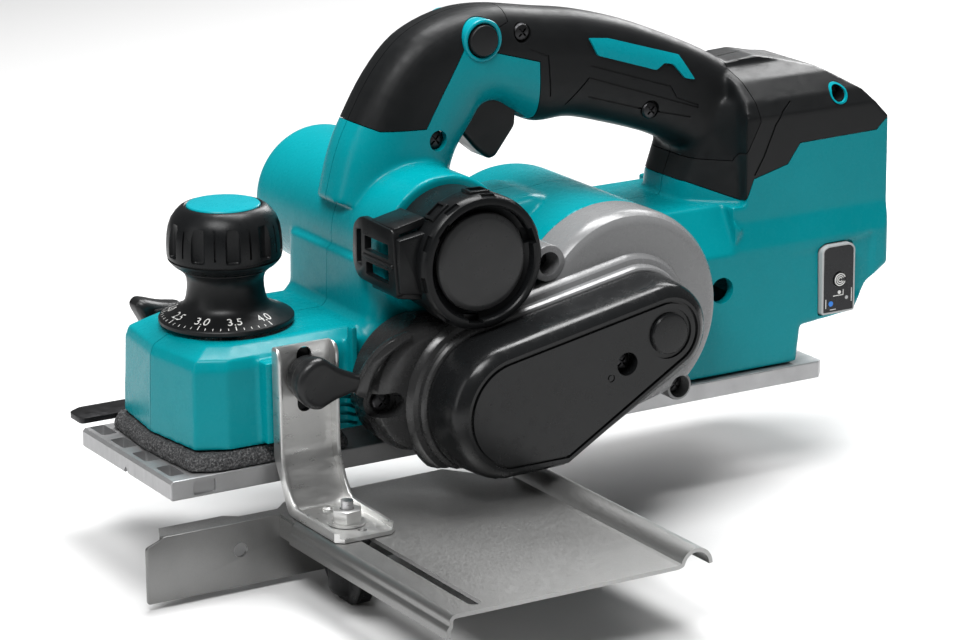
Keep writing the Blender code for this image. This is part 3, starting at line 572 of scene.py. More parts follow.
def handle_pillar():
    """The slanting foot between the handle's rear end and the casing."""
    loops = []
    for z, front in ((70.7, 252), (88, 254.6), (97, 258), (111, 264), (122, 269)):
        foot = [(front, -16), (276, -34), (290, -34), (290, 34), (276, 34), (front, 16)]
        loops.append([(x, y, z) for x, y in foot])
    pillar = rings("pillar", loops)
    soften(pillar, 5, 4, lambda a, b: abs(a.z - b.z) > 5 and a.x < 272)
    return pillar


def bosses():
    return (
        lathe("drum_wall", DRUM, "y", [(33, 30), (33, 46), (31.5, 48.6), (29, 49.5)], 72),
        prism("arm_boss", [(40.5, -36), (41.5, -43.6), (72, -43.6), (76, -36)], "z", 17, 50),
        prism("stop_boss", [(32, 36), (33, 41.1), (53, 41.1), (54, 36)], "z", 18, 50),
        prism("rib", [(80.5, -37), (80.5, -41.5), (83.5, -41.5), (83.5, -37)], "z", 17, 58),
        prism("ledge", [(236, 70), (264.6, 74.8), (270, 70), (262, 60), (236, 62)], "y", -38.6, 38.6))


def casing_skin():
    """The outside of the casing as one filled body with soft edges."""
    shell = front_shell()
    join(shell, *middle_shell(), battery_end(), handle_pillar(), *bosses(),
         rings("handle", handle_loops(0.0)))
    for side, _ in SIDES:
        cut(shell, side_slope(side, 38.8, 28, 80.6, 236, 266))
    cut(shell, box("under", (90, 165), (-60, 60), (-10, 2.0)))
    cut(shell, box("level", (165, 420), (-60, 60), (-10, 7.8)))
    remesh(shell, 0.9, 3)
    blend(shell, 30, lambda x, y, z: 240 < x < 286 and 90 < z < 131 and abs(y) < 35)
    blend(shell, 8, lambda x, y, z: 88 < x < 236 and 52 < z < 128 and -39 < y < 60)
    step = shell.modifiers.new("light", "DECIMATE")
    step.ratio = 0.34
    return bake(shell)


def rooms():
    """The large rooms inside the casing."""
    middle = [(90, 10), (104, 10), (150, 10), (150, 12), (256, 12), (256, 57), (222, 57), (150, 78),
              (118, 78), (96, 66), (90, 46)]
    rear = [(244, 12), (296, 12), (298, 27), (326.5, 29.5), (332.5, 40.5), (342.9, 47), (342.9, 106),
            (331, 109), (318, 110), (279, 110), (276.5, 74), (264, 57), (244, 57)]
    return [
        prism("h", [(17, 0), (20, -28), (28, -34.5), (92, -34.5), (92, 34.5), (28, 34.5), (20, 28)], "z",
              10, 46),
        prism("h", middle, "y", -34.5, 34.5),
        box("h", (94, 158), (-45, 41.5), (-10, 28)),
        lathe("h", DRUM, "y", [(24, -50), (29.5, -50), (29.5, 41.5), (10.4, 41.5), (10.4, 47.4)], 64),
        lathe("h", TUBE, "y", [(22.4, -50), (22.4, 68), (23.4, 71), (24.6, 80)], 96),
        lathe("h", MOTOR, "y", [(36, -50), (40.6, -50), (40.6, 33), (37, 39.5), (13, 39.5), (13, 35),
                                (9.9, 35), (9.9, 43.4)], 64),
        prism("h", rear, "y", -34.4, 34.4),
        prism("h", [(271, -10), (278, -26), (290, -26), (290, 26), (278, 26), (271, 10)], "z", 66, 118),
        rings("h", handle_loops(3.4, 24)[4:])]


def openings():
    """What the knob, trigger, battery, screws, panel, lugs, foot and levers need."""
    panel = rounded([(308.9, 26.5), (327.7, 26.5), (327.7, 57.4), (324.6, 58.5), (312.2, 58.5),
                     (308.9, 56.4)], 1.6)
    return [
        lathe("h", (KNOB_X, 0), "z", [(6.2, 40), (6.2, 70)], 32),
        lathe("h", (KNOB_X, 0), "z", [(26, 55.2), (28.4, 56.4), (28.4, 70)], 96),
        prism("h", rounded([(147, 100), (182, 100), (182, 140), (147, 140)], 2), "y", -8.2, 8.2),
        prism("h", [(327, 38.5), (360, 38.5), (360, 104), (327, 104)], "y", -31, 31),
        prism("h", circle(259.5, 45.5, 5.6), "y", -60, -30),
        prism("h", circle(*BOSS_SCREW, 4.3, 32), "y", -40, -13),
        prism("h", panel, "y", -60, -36.0),
        prism("h", circle(*LUG, 4.4, 32), "y", -60, -24),
        prism("h", circle(*LUG, 4.4, 32), "y", 24, 60),
        box("h", (287, 303), (22.5, 31.5), (0, 17.5)),
        prism("h", circle(*ARM_LEVER, 3.4, 24), "y", -60, -30),
        prism("h", circle(*STOP_LEVER, 3.4, 24), "y", 30, 60)]


def vents():
    out = []
    for i in range(5):
        z = 18.6 + 3.4 * i
        slit = rounded([(76.6, z), (83.6, z - 1.2), (83.6, z + 0.4), (76.6, z + 1.6)], 0.5)
        out.append(prism("vent", slit, "y", -60, -37.2))
    for i in range(6):
        x = 246 + 5.2 * i
        out.append(prism("vent", rounded([(x, 22), (x + 2.4, 22), (x + 2.4, 40), (x, 40)], 1.1), "y", 34, 60))
    return out


def half(part, side):
    """Keeps one side of the piece, with half a seam between the two."""
    low, high = (-SEAM, 120) if side < 0 else (-120, SEAM)
    return cut(part, box("other_half", (-50, 420), (low, high), (-80, 240)))


def casings():
    """Parts the casing along its seams and returns its pieces by CAD node."""
    shell = casing_skin()
    cut(shell, *rooms(), *openings(), *vents())
    pieces = {}
    for name, outline in (("front_grip", FRONT_ZONE), ("grip", GRIP_ZONE), ("rear_cap", CAP_ZONE)):
        piece = copy_of(shell, name)
        keep(piece, prism("zone", grown(outline, -SEAM), "y", -60, 60))
        cut(shell, prism("zone", grown(outline, SEAM), "y", -60, 60))
        for side, word in SIDES:
            pieces[name + "_" + word] = half(copy_of(piece, name + "_" + word + "_skin"), side)
        bpy.data.objects.remove(piece)
    for side, word in SIDES:
        pieces["casing_" + word] = half(copy_of(shell, "casing_" + word + "_skin"), side)
    bpy.data.objects.remove(shell)
    for name, part in pieces.items():
        side = -1 if name.endswith("left") else 1
        if name.startswith("grip"):
            for x, z, face in GRIP_SCREWS:
                reach = sorted((side * 30, -side * (face + 2.5)))
                cut(part, prism("recess", circle(x, z, 4.3, 32), "y", *reach))
        if name.startswith("casing"):
            cut(part, prism("lock", circle(*LOCK, 7.0, 40), "y", -30, 30))
        look, slot = TEAL, "teal_plastic"
        if name.startswith(("front_grip", "grip")):
            look, slot = RUBBER, "grip_rubber"
        elif name.startswith("rear_cap"):
            look, slot = SATIN, "black_plastic"
        finish_piece(part, look, "body", name, 28)
    return pieces


# ---------------------------------------------------------------- belt side
def lobe(grow, lowest=0.9):
    """The belt cover's outline round both pulleys, grown by grow."""
    low = arc(*DRUM, 26 + grow, 102, 262, 40)
    corner = arc(150.8, 4.6, 1.6 + max(grow, 0), -82, -57, 5)
    top = arc(*MOTOR, 17.3 + grow, -57, 100, 34)
    return [(x, max(z, lowest)) for x, z in low + corner + top]


def housing_outline(grow):
    disc = arc(*MOTOR, 44 + grow, -52, 158, 72)
    neck = [(149, 60.5 + grow), (144, 57.6 + grow), (139, 57.2 + grow), (133, 55.9 + grow)]
    front = arc(108, 33, 28 + grow, 55, 238, 52)
    return disc + neck + front + [(128, 1.2 - grow * 0.3), (190, 5.5 - grow * 0.5)]


def belt_housing():
    loops = []
    for y, grow in ((-41.3, 0), (-54.5, 0), (-57.5, -0.7), (-59.6, -2.2), (-60.7, -4.2), (-61, -6.5)):
        loops.append([(x, y, z) for x, z in housing_outline(grow)])
    part = rings("belt_housing_skin", loops[::-1])
    cut(part, prism("pocket", housing_outline(-8.5), "y", -57.5, -30))
    step = []
    for y, grow in ((-58.5, 9.6), (-61.4, 9.4), (-63.2, 8.4), (-63.9, 7.6), (-64.2, 6.6), (-64.4, 5.6),
                    (-66.4, 5.4), (-67.6, 4.7), (-68, 3.9)):
        step.append([(x, y, z) for x, z in lobe(grow)])
    join(part, rings("rim", step[::-1]))
    for centre, bore, r in ((DRUM, 10.4, 13.5), (MOTOR, 9.9, 13)):
        seat = [(bore, -59), (r, -59), (r, -43), (bore, -43), (bore, -59)]
        join(part, lathe("bearing_seat", centre, "y", seat, 48))
    for spot, r, y in ((TOP_SCREW, 7.6, -60.8), (FRONT_SCREW, 7.4, -57.9), (REAR_SCREW, 6.0, -60)):
        ear = prism("ear", circle(*spot, r, 40), "y", y, -41.3)
        soften(ear, 0.9, 2)
        join(part, ear)
    arch = arc(99, 30, 29, 72, 292, 40)
    inner = arc(101.5, 30, 25.5, 292, 72, 40)
    ridge = prism("ridge", arch[4:18] + inner[22:36], "y", -62.2, -58)
    soften(ridge, 1.0, 2)
    join(part, ridge)
    cut(part, prism("inside", lobe(1.6, 2.6), "y", -80, -60.3))
    for centre, r, y in ((DRUM, 6.8, -80), (MOTOR, 4.8, -80), (DRUM, 10.4, -50.4), (MOTOR, 9.9, -50.4)):
        cut(part, prism("bore", circle(*centre, r, 40), "y", y, -40))
    cut(part, prism("tube_room", circle(*TUBE, TUBE_R + 0.7, 64), "y", -42.8, -30))
    for spot, y in ((TOP_SCREW, -50), (FRONT_SCREW, -52), (REAR_SCREW, -53)):
        cut(part, prism("recess", circle(*spot, 4.8, 32), "y", -80, y))
        cut(part, prism("hole", circle(*spot, 2.3, 20), "y", -80, -30))
    slot = arc(88.2, 30, 5.0, -90, 90, 12) + [(74, 35.0), (74, 25.0)]
    cut(part, prism("screw_slot", slot, "y", -80, -53))
    # The housing's grey carries painted shade, darker towards its front lobe.
    finish_piece(part, GREY, "body", "belt_housing", 24)


def belt_cover():
    loops = []
    for y, grow in ((-68.3, 3.4), (-79, 2.9), (-84, 2.4), (-86.3, 1.8), (-87.6, 0.9), (-88.8, -0.5),
                    (-89.6, -1.6), (-90, -2.4), (-90, -3.2)):
        loops.append([(x, y, z) for x, z in lobe(grow)])
    part = rings("belt_cover_skin", loops[::-1])
    cut(part, prism("inside", lobe(0.2, 2.6), "y", -86.8, -60))
    groove = prism("groove", lobe(-3.6, 5.0), "y", -92, -88.9)
    cut(groove, prism("island", lobe(-4.9, 6.3), "y", -93, -88))
    cut(part, groove)
    ring = prism("ring", circle(*MOTOR, 10.4, 64), "y", -92, -89.2)
    cut(ring, prism("island", circle(*MOTOR, 8.6, 64), "y", -93, -88))
    cut(part, ring)
    boss = lathe("boss", MOTOR, "y", [(8.5, -88), (8.4, -90.4), (7.9, -90.9), (7.0, -91.05), (2, -91.15)], 64)
    tower = prism("tower", circle(*COVER_SCREW, 6.4, 40), "y", -87.4, -78)
    join(part, boss, tower)
    cut(part, prism("screw_hole", circle(*COVER_SCREW, 4.8, 40), "y", -100, -83.6),
        prism("screw_hole", circle(*COVER_SCREW, 2.2, 24), "y", -100, -70))
    pip = prism("pip", circle(171.4, 34.8, 1.7, 24), "y", -92, -89.55)
    cut(pip, prism("island", circle(171.4, 34.8, 1.1, 24), "y", -93, -88))
    cut(part, pip)
    finish_piece(part, COVER, "body", "belt_cover", 24)


# ---------------------------------------------------------------- chip tube
def turned_box(name, centre, angle, radial, across, y):
    """A block on a circle in the XZ plane: radial and across are its reaches along and across the radius."""
    u = Vector((math.cos(math.radians(angle)), math.sin(math.radians(angle))))
    v = Vector((-u.y, u.x))
    c = Vector(centre)
    corners = [c + u * radial[0] + v * across[0], c + u * radial[1] + v * across[0],
               c + u * radial[1] + v * across[1], c + u * radial[0] + v * across[1]]
    return prism(name, [tuple(p) for p in corners], "y", y[0], y[1])


def chute_clip():
    """The slotted clip tab at the front of the chute cover, and what holds it."""
    tab = rounded([(-65.4, 74), (-62.5, 101), (-36, 101.6), (-30, 97), (-29, 82), (-33, 76)], 3)
    plate = prism("tab", tab, "x", 88.4, 91.4)
    soften(plate, 0.7, 2)
    windows = (((-58.5, 88.5), (-58.5, 94.5), (-39.5, 94.5), (-39.5, 88.5)),
               ((-58.5, 78.4), (-58.5, 84.0), (-40.5, 84.0), (-40.5, 78.8)),
               ((-36.8, 81), (-36.8, 96.4), (-33, 95.6), (-33, 82)))
    for window in windows:
        cut(plate, prism("window", rounded(list(window), 0.8), "x", 80, 110))
    frame_bar = prism("bar", [(-62, 85.2), (-38.5, 85.2), (-38.5, 87.2), (-62, 87.2)], "x", 87.9, 93.4)
    soften(frame_bar, 0.4, 1)
    bridge = prism("bridge", [(89.2, 76), (102, 74), (102, 99.5), (89.2, 97.6)], "y", -66.0, -58.6)
    soften(bridge, 0.8, 2)
    lip = prism("lip", [(89.2, 98), (89.2, 101.6), (103, 104.5), (103, 101)], "y", -62, -43.2)
    soften(lip, 0.6, 2)
    sill = prism("lip", [(89.2, 76.4), (89.2, 73.8), (104, 71), (104, 74)], "y", -64, -43.2)
    soften(sill, 0.6, 2)
    return plate, frame_bar, bridge, lip, sill


def chute():
    profile = [(19.6, -34), (22.1, -34), (22.1, -42.3), (25.6, -42.3), (26.1, -57), (26.5, -58.2),
               (27.0, -58.8), (27.3, -60), (27.4, -68.6), (27.0, -70.4), (26.0, -71.6), (25.0, -72),
               (23.6, -72), (23.1, -71.4), (22.9, -68), (21.2, -66.8), (19.6, -66.2), (19.6, -34)]
    part = lathe("chute_cover_skin", TUBE, "y", profile, 120)
    for angle in range(12, 372, 36):
        cut(part, turned_box("notch", TUBE, angle, (26.3, 30), (-3.2, 3.2), (-73, -68.8)))
    for angle in (20, 140, 260):
        cut(part, turned_box("gap", TUBE, angle, (21, 24.2), (-3.4, 3.4), (-73, -66)))
    for angle in (128, 88):
        lug = turned_box("lug", TUBE, angle, (25.5, 28.3), (-4.6, 4.6), (-67.6, -60.2))
        soften(lug, 0.5, 2)
        cut(lug, turned_box("window", TUBE, angle, (27.2, 30), (-3.2, 3.2), (-66.3, -61.6)))
        join(part, lug)
    join(part, *chute_clip())
    cut(part, prism("mouth", circle(*TUBE, 22.0, 96), "y", -66.0, -42.4))
    finish_piece(part, BLACK, "chute", "chute_cover", 28)
    disc = lathe("chute_disc_skin", TUBE, "y",
                 [(4, -71.15), (12, -71.05), (17, -70.8), (18.6, -70.5), (19.5, -69.9), (19.9, -69.1),
                  (19.9, -68), (19.2, -66.4), (19.2, -64), (17.4, -64), (17.4, -67.5), (4, -67.8)], 96)
    finish_piece(disc, DISC, "chute", "chute_disc", 24)


# ---------------------------------------------------------------- depth setting
DIAL_TURN = 252.2    # where the knob's first pocket and the dial's 3.5 lie, in degrees
DIAL_STEP = 70.0     # degrees of knob to a millimetre of cut
DIAL_LOW, DIAL_HIGH = (26.4, 59.3), (19.4, 62.5)    # the dial's sloping face, as (radius, height)


def ray(angle):
    """Unit vectors along and across a radius of the knob."""
    a = math.radians(angle)
    return Vector((math.cos(a), math.sin(a))), Vector((-math.sin(a), math.cos(a)))


def knob_block(name, angle, inner, outer, z):
    """A block that cuts into the knob's side; inner and outer are (radius, half width)."""
    u, v = ray(angle)
    c = Vector((KNOB_X, 0))
    corners = [c + u * inner[0] - v * inner[1], c + u * outer[0] - v * outer[1],
               c + u * outer[0] + v * outer[1], c + u * inner[0] + v * inner[1]]
    return prism(name, [tuple(p) for p in corners], "z", *z)


def knob():
    dial = lathe("depth_dial_skin", (KNOB_X, 0), "z",
                 [(4.3, 57), (26.8, 57), (27.2, 57.4), (27.2, 58.6), (26.9, 59.05), DIAL_LOW, DIAL_HIGH,
                  (17.7, 63.6), (16.5, 65.2), (15.9, 67.4), (15.5, 70), (15.35, 72.5), (15.5, 74.6),
                  (16.1, 76.4), (17.2, 77.9), (18.2, 78.7), (18.2, 79), (4.3, 79), (4.3, 57)], 120)
    finish_piece(dial, DIAL, "knob", "depth_dial", 24)
    cap = lathe("depth_knob_skin", (KNOB_X, 0), "z",
                [(4.3, 79.3), (18.6, 79.3), (20.4, 80.3), (22.0, 81.9), (22.7, 82.9), (22.2, 83.2),
                 (22.2, 83.6), (22.9, 83.9), (23.1, 85), (23.1, 89), (22.8, 93), (22.2, 96.4), (21.1, 99.2),
                 (19.4, 101.6), (17.6, 103.4), (16.4, 104.1), (15.6, 104.3), (15.2, 104.0), (15.2, 103),
                 (4.3, 103), (4.3, 79.3)], 120)
    for i in range(10):
        angle = DIAL_TURN + 36 * i
        pocket = knob_block("pocket", angle, (21.1, 2.5), (26, 4.0), (85.2, 99.5))
        soften(pocket, 1.1, 3, None, 40)
        cut(cap, pocket, knob_block("slit", angle + 18, (21.6, 0.4), (26, 0.5), (86.5, 98.6)))
    finish_piece(cap, BLACK, "knob", "depth_knob", 30)
    disc = lathe("knob_disc_skin", (KNOB_X, 0), "z",
                 [(14.8, 103.3), (14.8, 104.3), (14.4, 104.75), (13, 104.95), (8, 105.15), (1, 105.2)], 96)
    finish_piece(disc, INLAY, "knob", "knob_disc", 24)
    dial_marks()


def cone(r):
    """Height of the dial's sloping face at radius r."""
    (outer, low), (inner, high) = DIAL_LOW, DIAL_HIGH
    return low + (outer - r) * (high - low) / (outer - inner)


def dial_ticks(marks):
    for i in range(41):
        u, v = ray(DIAL_TURN + (i / 10 - 3.5) * DIAL_STEP)
        inner, wide = (23.9, 0.20) if i % 5 == 0 else (24.9, 0.15)
        corners = []
        for r, w in ((inner, -wide), (26.1, -wide), (26.1, wide), (inner, wide)):
            p = u * r + v * w
            corners.append(marks.verts.new(place(KNOB_X + p.x, p.y, cone(r) + 0.04)))
        marks.faces.new(corners)


def dial_number(marks, value):
    """Wraps the flat outline of a number round the dial's sloping face."""
    text = bpy.data.curves.new("number", "FONT")
    text.body = f"{value:.1f}"
    text.size = 5.3
    text.align_x = "CENTER"
    holder = add("number", text)
    bpy.context.view_layer.update()
    flat = bpy.data.meshes.new_from_object(holder.evaluated_get(bpy.context.evaluated_depsgraph_get()))
    middle = math.radians(DIAL_TURN + (value - 3.5) * DIAL_STEP)
    made = []
    for vertex in flat.vertices:
        r = 23.3 - vertex.co.y
        a = middle + vertex.co.x / r
        made.append(marks.verts.new(place(KNOB_X + r * math.cos(a), r * math.sin(a), cone(r) + 0.05)))
    for face in flat.polygons:
        marks.faces.new([made[k] for k in face.vertices])
    bpy.data.objects.remove(holder)


def dial_marks():
    marks = bmesh.new()
    dial_ticks(marks)
    for i in range(9):
        dial_number(marks, i / 2)
    data = bpy.data.meshes.new("dial_marks")
    marks.to_mesh(data)
    marks.free()
    finish_piece(add("dial_marks", data), WHITE, "knob")


# ---------------------------------------------------------------- base
def long_edge(a, b):
    """Whether an edge of a shoe lies on one of its two sides."""
    return abs(a.y) > 40 and abs(b.y) > 40 and a.y * b.y > 0


def front_shoe():
    front = prism("front_shoe_skin", [(0, 0.8), (0.8, 0), (113.5, 0), (104, 8), (1.2, 8), (0, 6.8)], "y",
                  -41, 41)
    soften(front, 0.5, 2, long_edge)
    boss = lathe("boss", (KNOB_X, 0), "z", [(13, 6), (13, 9), (10, 12), (10, 26)], 48)
    join(front, boss)
    for middle in (34, 14.5, -6, -27.5):
        low, high = middle - 6.5, middle + 6.5
        outline = rounded([(3, low), (9.5, low), (9.5, high), (3, high)], 1.2)
        cut(front, prism("pocket", outline, "z", 2.2, 20))
    side = prism("side_pocket", rounded([(9.5, 0.8), (19.5, 0.8), (19.5, 6.6), (9.5, 6.6)], 1.6), "y",
                 -50, -39.4)
    groove = prism("groove", [(-3.5, -1), (3.5, -1), (0, 3.2)], "x", -5, 125)
    thread = lathe("thread", (KNOB_X, 0), "z", [(4.3, 4.4), (4.3, 40)], 32)
    cut(front, side, groove, thread)
    finish_piece(front, SHOE, "shoe", "front_shoe", 20)


def rear_shoe():
    rear = prism("rear_shoe_skin", [(138, 0), (309.4, 0), (310.9, 0.7), (311.4, 2), (311.4, 5.5),
                                    (310.9, 6.9), (309.4, 7.5), (153, 7.5)], "y", -41, 41)
    soften(rear, 0.5, 2, long_edge)
    for side, _ in SIDES:
        corner = [(305, side * 44), (315, side * 34), (318, side * 44)]
        cut(rear, prism("corner", corner, "z", -5, 12))
    for low in (20.6, 31.8):
        join(rear, box("lug", (301.6, 307.6), (low, low + 1.6), (6, 14.6)))
    cut(rear, box("foot_slot", (287.5, 308.5), (22.5, 31.5), (-5, 20)))
    cut(rear, prism("pin_room", circle(304.5, 12, 1.7, 24), "y", 10, 50))
    finish_piece(rear, SHOE, "body", "rear_shoe", 20)


def foam_strip():
    """The foam seal between the front shoe and the casing, which squashes as the shoe rises."""
    outer = rounded([(8, 0), (11, -36), (20, -40.8), (80, -40.8), (80, 38.6), (20, 38.6), (11, 36)], 3)
    inner = rounded([(18, 0), (21, -28), (28, -33.5), (86, -33.5), (86, 33.5), (28, 33.5), (21, 28)], 3)
    loops = [[(x, y, 8.3) for x, y in outer], [(x, y, 12) for x, y in grown(outer, -0.5)],
             [(x, y, 15.1) for x, y in grown(outer, -2.4)]]
    foam = rings("foam_strip_skin", loops)
    cut(foam, prism("inner", inner, "z", 0, 30))
    remesh(foam, 0.75, 1)
    rough = bpy.data.textures.new("foam cells", "CLOUDS")
    rough.noise_scale = 0.0016
    step = foam.modifiers.new("cells", "DISPLACE")
    step.texture = rough
    step.texture_coords = "LOCAL"
    step.strength = 0.0007
    step.mid_level = 0.75
    bake(foam)
    finish_piece(foam, FOAM, "body", "foam_strip", 180)
    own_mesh(foam)


# ---------------------------------------------------------------- edge guide
def sheet_path(points, thick, radius):
    """Outline of a bent sheet whose middle runs through the points."""
    line = [Vector(points[0])]
    for i in range(1, len(points) - 1):
        line += bend(*(Vector(points[i + k]) for k in (-1, 0, 1)), radius, 5)
    line.append(Vector(points[-1]))
    left, right = [], []
    for i, q in enumerate(line):
        along = (line[min(i + 1, len(line) - 1)] - line[max(i - 1, 0)]).normalized()
        side = Vector((-along.y, along.x)) * thick / 2
        left.append(tuple(q + side))
        right.append(tuple(q - side))
    return left + right[::-1]


def arm_corners():
    """What trims the four corners of the guide arm's two ends."""
    top = ([(40, 58), (40, 51), (45.5, 58)], [(73, 58), (73, 51), (67.6, 58)])
    foot = ([(43.5, -93), (43.5, -97), (47.5, -97)], [(70, -93), (70, -97), (66, -97)])
    return ([prism("corner", outline, "y", -60, -40) for outline in top]
            + [prism("corner", outline, "z", -20, 0) for outline in foot])


def guide_arm():
    low = -9.3
    pad = prism("arm_pad", rounded([(51, 26), (63, 26), (63, 54.2), (51, 54.2)], 1.5), "y", -44.05, -43.2)
    finish_piece(pad, BLACK, "body", None, 30)
    middle = [(-45.0, 56.5), (-45.0, 11.2), (-51.2, 0.8), (-53.7, -4.6), (-56.4, low + 0.8), (-96, low + 0.8)]
    arm = prism("guide_arm_skin", sheet_path(middle, 1.6, 4), "x", 43.7, 69.8)
    web = rounded([(-44.2, 56.5), (-44.2, 11), (-50.5, 0.5), (-53, -5), (-56, low), (-96, low),
                   (-96, low + 3.6), (-60, low + 4.8), (-55, 2), (-50.6, 12), (-50.4, 53), (-48, 56.5)], 2.2)
    for x in (43.5, 68.4):
        flange = prism("flange", web, "x", x, x + 1.6)
        soften(flange, 0.35, 2, None, 50)
        join(arm, flange)
    cut(arm, prism("bolt_hole", circle(*BOLT, 2.9, 32), "z", -20, 5))
    cut(arm, prism("small_hole", circle(57.7, -89.5, 1.9, 24), "z", -20, 5))
    pimple = [(2.2, low + 1.4), (2.1, low + 2.2), (1.2, low + 2.9), (0.2, low + 3.0)]
    join(arm, lathe("pimple", (57.8, -61.5), "z", pimple, 24))
    slot = arc(57, 52, 3.3, 0, 180, 16) + arc(57, 32, 3.3, 180, 360, 16)
    cut(arm, prism("screw_slot", slot, "y", -60, -30), *arm_corners())
    finish_piece(arm, ZINC, "guide_arm", "guide_arm", 24)


def guide_plate():
    path = [(41.0, -18.8), (41.0, -15.6), (42.3, -14.2), (42.3, -11.6), (43.6, -10.4), (141.3, -10.4),
            (142.9, -9.9)]
    path += arc(149.5, -11.2, 6.4, 166, 0, 12)
    plate = prism("guide_plate_skin", sheet_path(path, 1.6, 1.4), "y", -184, -61.8)
    top, under = -9.6, -11.2
    apron = prism("apron", [(42, -62.2), (141.5, -62.2), (124, -37), (50, -39), (44, -45), (27, -45),
                            (22, -41), (-6, -41), (-10, -50.2), (42, -51.8)], "z", under, top)
    fence = prism("fence", rounded([(-16.5, -36), (124, -36), (124, top), (-9, top), (-10.5, top - 1.2),
                                    (-16.5, top - 3.5)], 1.2), "y", -51.8, -50.2)
    soften(fence, 0.3, 2, None, 50)
    skirt = prism("skirt", [(41.4, -18.6), (43.0, -18.6), (43.0, under + 0.6), (41.4, under + 0.6)], "y",
                  -62.2, -51)
    join(plate, apron, fence, skirt)
    slot = arc(BOLT[0], -176.2, 2.8, 180, 360, 12) + arc(BOLT[0], -62.8, 2.8, 0, 180, 12)
    cut(plate, prism("slot", slot, "z", -20, 5))
    cut(plate, prism("hole", circle(24, -21, 3.0, 32), "y", -60, -45))
    # The plate's darker metal is painted shade.
    finish_piece(plate, SHADED_ZINC, "guide_plate", "guide_plate", 24)


def guide_clamp():
    """The nut above the guide arm and the winged knob below the plate."""
    nut = prism("guide_nut_skin", circle(*BOLT, 6.2, 6), "z", -6.6, -1.4)
    soften(nut, 0.45, 2, None, 50)
    join(nut, lathe("washer", BOLT, "z", [(7.2, -7.4), (7.2, -6.5), (3, -6.4)], 48))
    cut(nut, prism("hole", circle(*BOLT, 2.8, 32), "z", -20, 5))
    finish_piece(nut, ZINC, "guide_arm", "guide_nut", 24)

    grip = lathe("guide_knob_skin", BOLT, "z", [(5, -36), (7, -35.2), (8, -33), (8, -17), (9.5, -15),
                                                (9.5, -11.6)], 48)
    wing = prism("wing", [(-12, -36.6), (-7, -38.4), (2, -38.4), (8, -36.6), (14, -30), (17, -23.5),
                          (14, -19.5), (-13, -19.5), (-16, -24), (-15.4, -31)], "x", 52.9, 59.7)
    for vertex in wing.data.vertices:
        vertex.co.y += BOLT[1] * MM
    join(grip, wing)
    remesh(grip, 0.6, 5, 0.4)
    cut(grip, prism("hole", circle(*BOLT, 2.8, 32), "z", -26, 0))
    finish_piece(grip, BLACK, "guide_knob", "guide_knob", 30)


THUMB_R = 10.6


def thumb(name, centre, outer, inner, tip, droop):
    """A clamping lever: a round head drawn out into a wing towards the tip, narrower at its inner end."""
    x, z = centre
    reach = math.hypot(*tip)
    turn = math.atan2(tip[1], tip[0])
    loops = []
    for part, size in ((0.0, 0.80), (0.07, 0.92), (0.22, 1.0), (0.72, 0.95), (0.90, 0.82), (1.0, 0.64)):
        loop = []
        for i in range(56):
            t = math.tau * i / 56
            ahead = max(0.0, math.cos(t))
            rise = math.copysign(abs(math.sin(t)) ** (1 - 0.35 * ahead), t if t < math.pi else -1)
            px = (THUMB_R * size + ahead ** 4 * (reach - THUMB_R)) * math.cos(t)
            pz = THUMB_R * size * rise
            pz = pz * (1 - 0.42 * ahead) + droop * ahead ** 2
            loop.append((x + px * math.cos(turn) - pz * math.sin(turn), outer + (inner - outer) * part,
                         z + px * math.sin(turn) + pz * math.cos(turn)))
        loops.append(loop)
    return rings(name, loops)


def levers():
    lever = thumb("arm_lever_skin", ARM_LEVER, -61.5, -51, (20.2, -1.0), -1.6)
    join(lever, prism("stem", circle(*ARM_LEVER, 3.0, 32), "y", -52, -39))
    join(lever, prism("collar", circle(*ARM_LEVER, 8.6, 48), "y", -52, -46.4))
    remesh(lever, 0.55, 5, 0.4)
    finish_piece(lever, LEVER, "arm_lever", "arm_lever", 40)
    wing = thumb("stop_lever_skin", STOP_LEVER, 55, 45, (-13, 12), 1.0)
    join(wing, prism("stem", circle(*STOP_LEVER, 3.0, 32), "y", 34.9, 46.2))
    remesh(wing, 0.55, 5, 0.4)
    finish_piece(wing, LEVER, "stop_lever", "stop_lever", 40)


def depth_stop():
    stop = prism("depth_stop_skin", rounded([(35, 9.5), (51, 9.5), (51, 52), (35, 52)], 1.4), "y", 41.4, 43.6)
    sole = prism("sole", rounded([(0, 41.4), (51, 41.4), (51, 57), (6, 57), (0, 53)], 2), "z", 9.5, 11.7)
    join(stop, sole)
    cut(stop, prism("slot", arc(43, 46, 3.3, 0, 180, 16) + arc(43, 20, 3.3, 180, 360, 16), "y", 30, 60))
    soften(stop, 0.3, 2, None, 50)
    finish_piece(stop, SCREW, "depth_stop", "depth_stop", 24)


# ---------------------------------------------------------------- controls
def screw(name, spot, y, r, length):
    """A pan-head screw with a cross recess, facing the belt side."""
    profile = [(r * 0.2, y), (r * 0.55, y + 0.15), (r * 0.85, y + 0.6), (r, y + 1.3), (r, y + 2.2),
               (1.6, y + 2.2), (1.6, y + length)]
    part = lathe(name, spot, "y", profile, 40)
    for angle in (45, 135):
        cut(part, turned_box("cross", spot, angle, (-r * 0.6, r * 0.6), (-0.42, 0.42), (y - 1, y + 1.4)))
    return part


def screws():
    for name, spot, y, r, length in (
            ("grip_screw_front", GRIP_SCREWS[0][:2], -15.4, 3.7, 22),
            ("grip_screw_rear", GRIP_SCREWS[1][:2], -16.6, 3.7, 24),
            ("housing_screw_top", TOP_SCREW, -53.4, 3.9, 12),
            ("housing_screw_front", FRONT_SCREW, -55.4, 3.9, 14),
            ("housing_screw_rear", REAR_SCREW, -56.4, 3.9, 15),
            ("cover_screw", COVER_SCREW, -85.9, 3.9, 10)):
        finish_piece(screw(name + "_skin", spot, y, r, length), SCREW, "body", name, 26)
    part = screw("boss_screw", BOSS_SCREW, -14.4, 4.25, 4)
    finish_piece(part, SCREW, "body", None, 26)


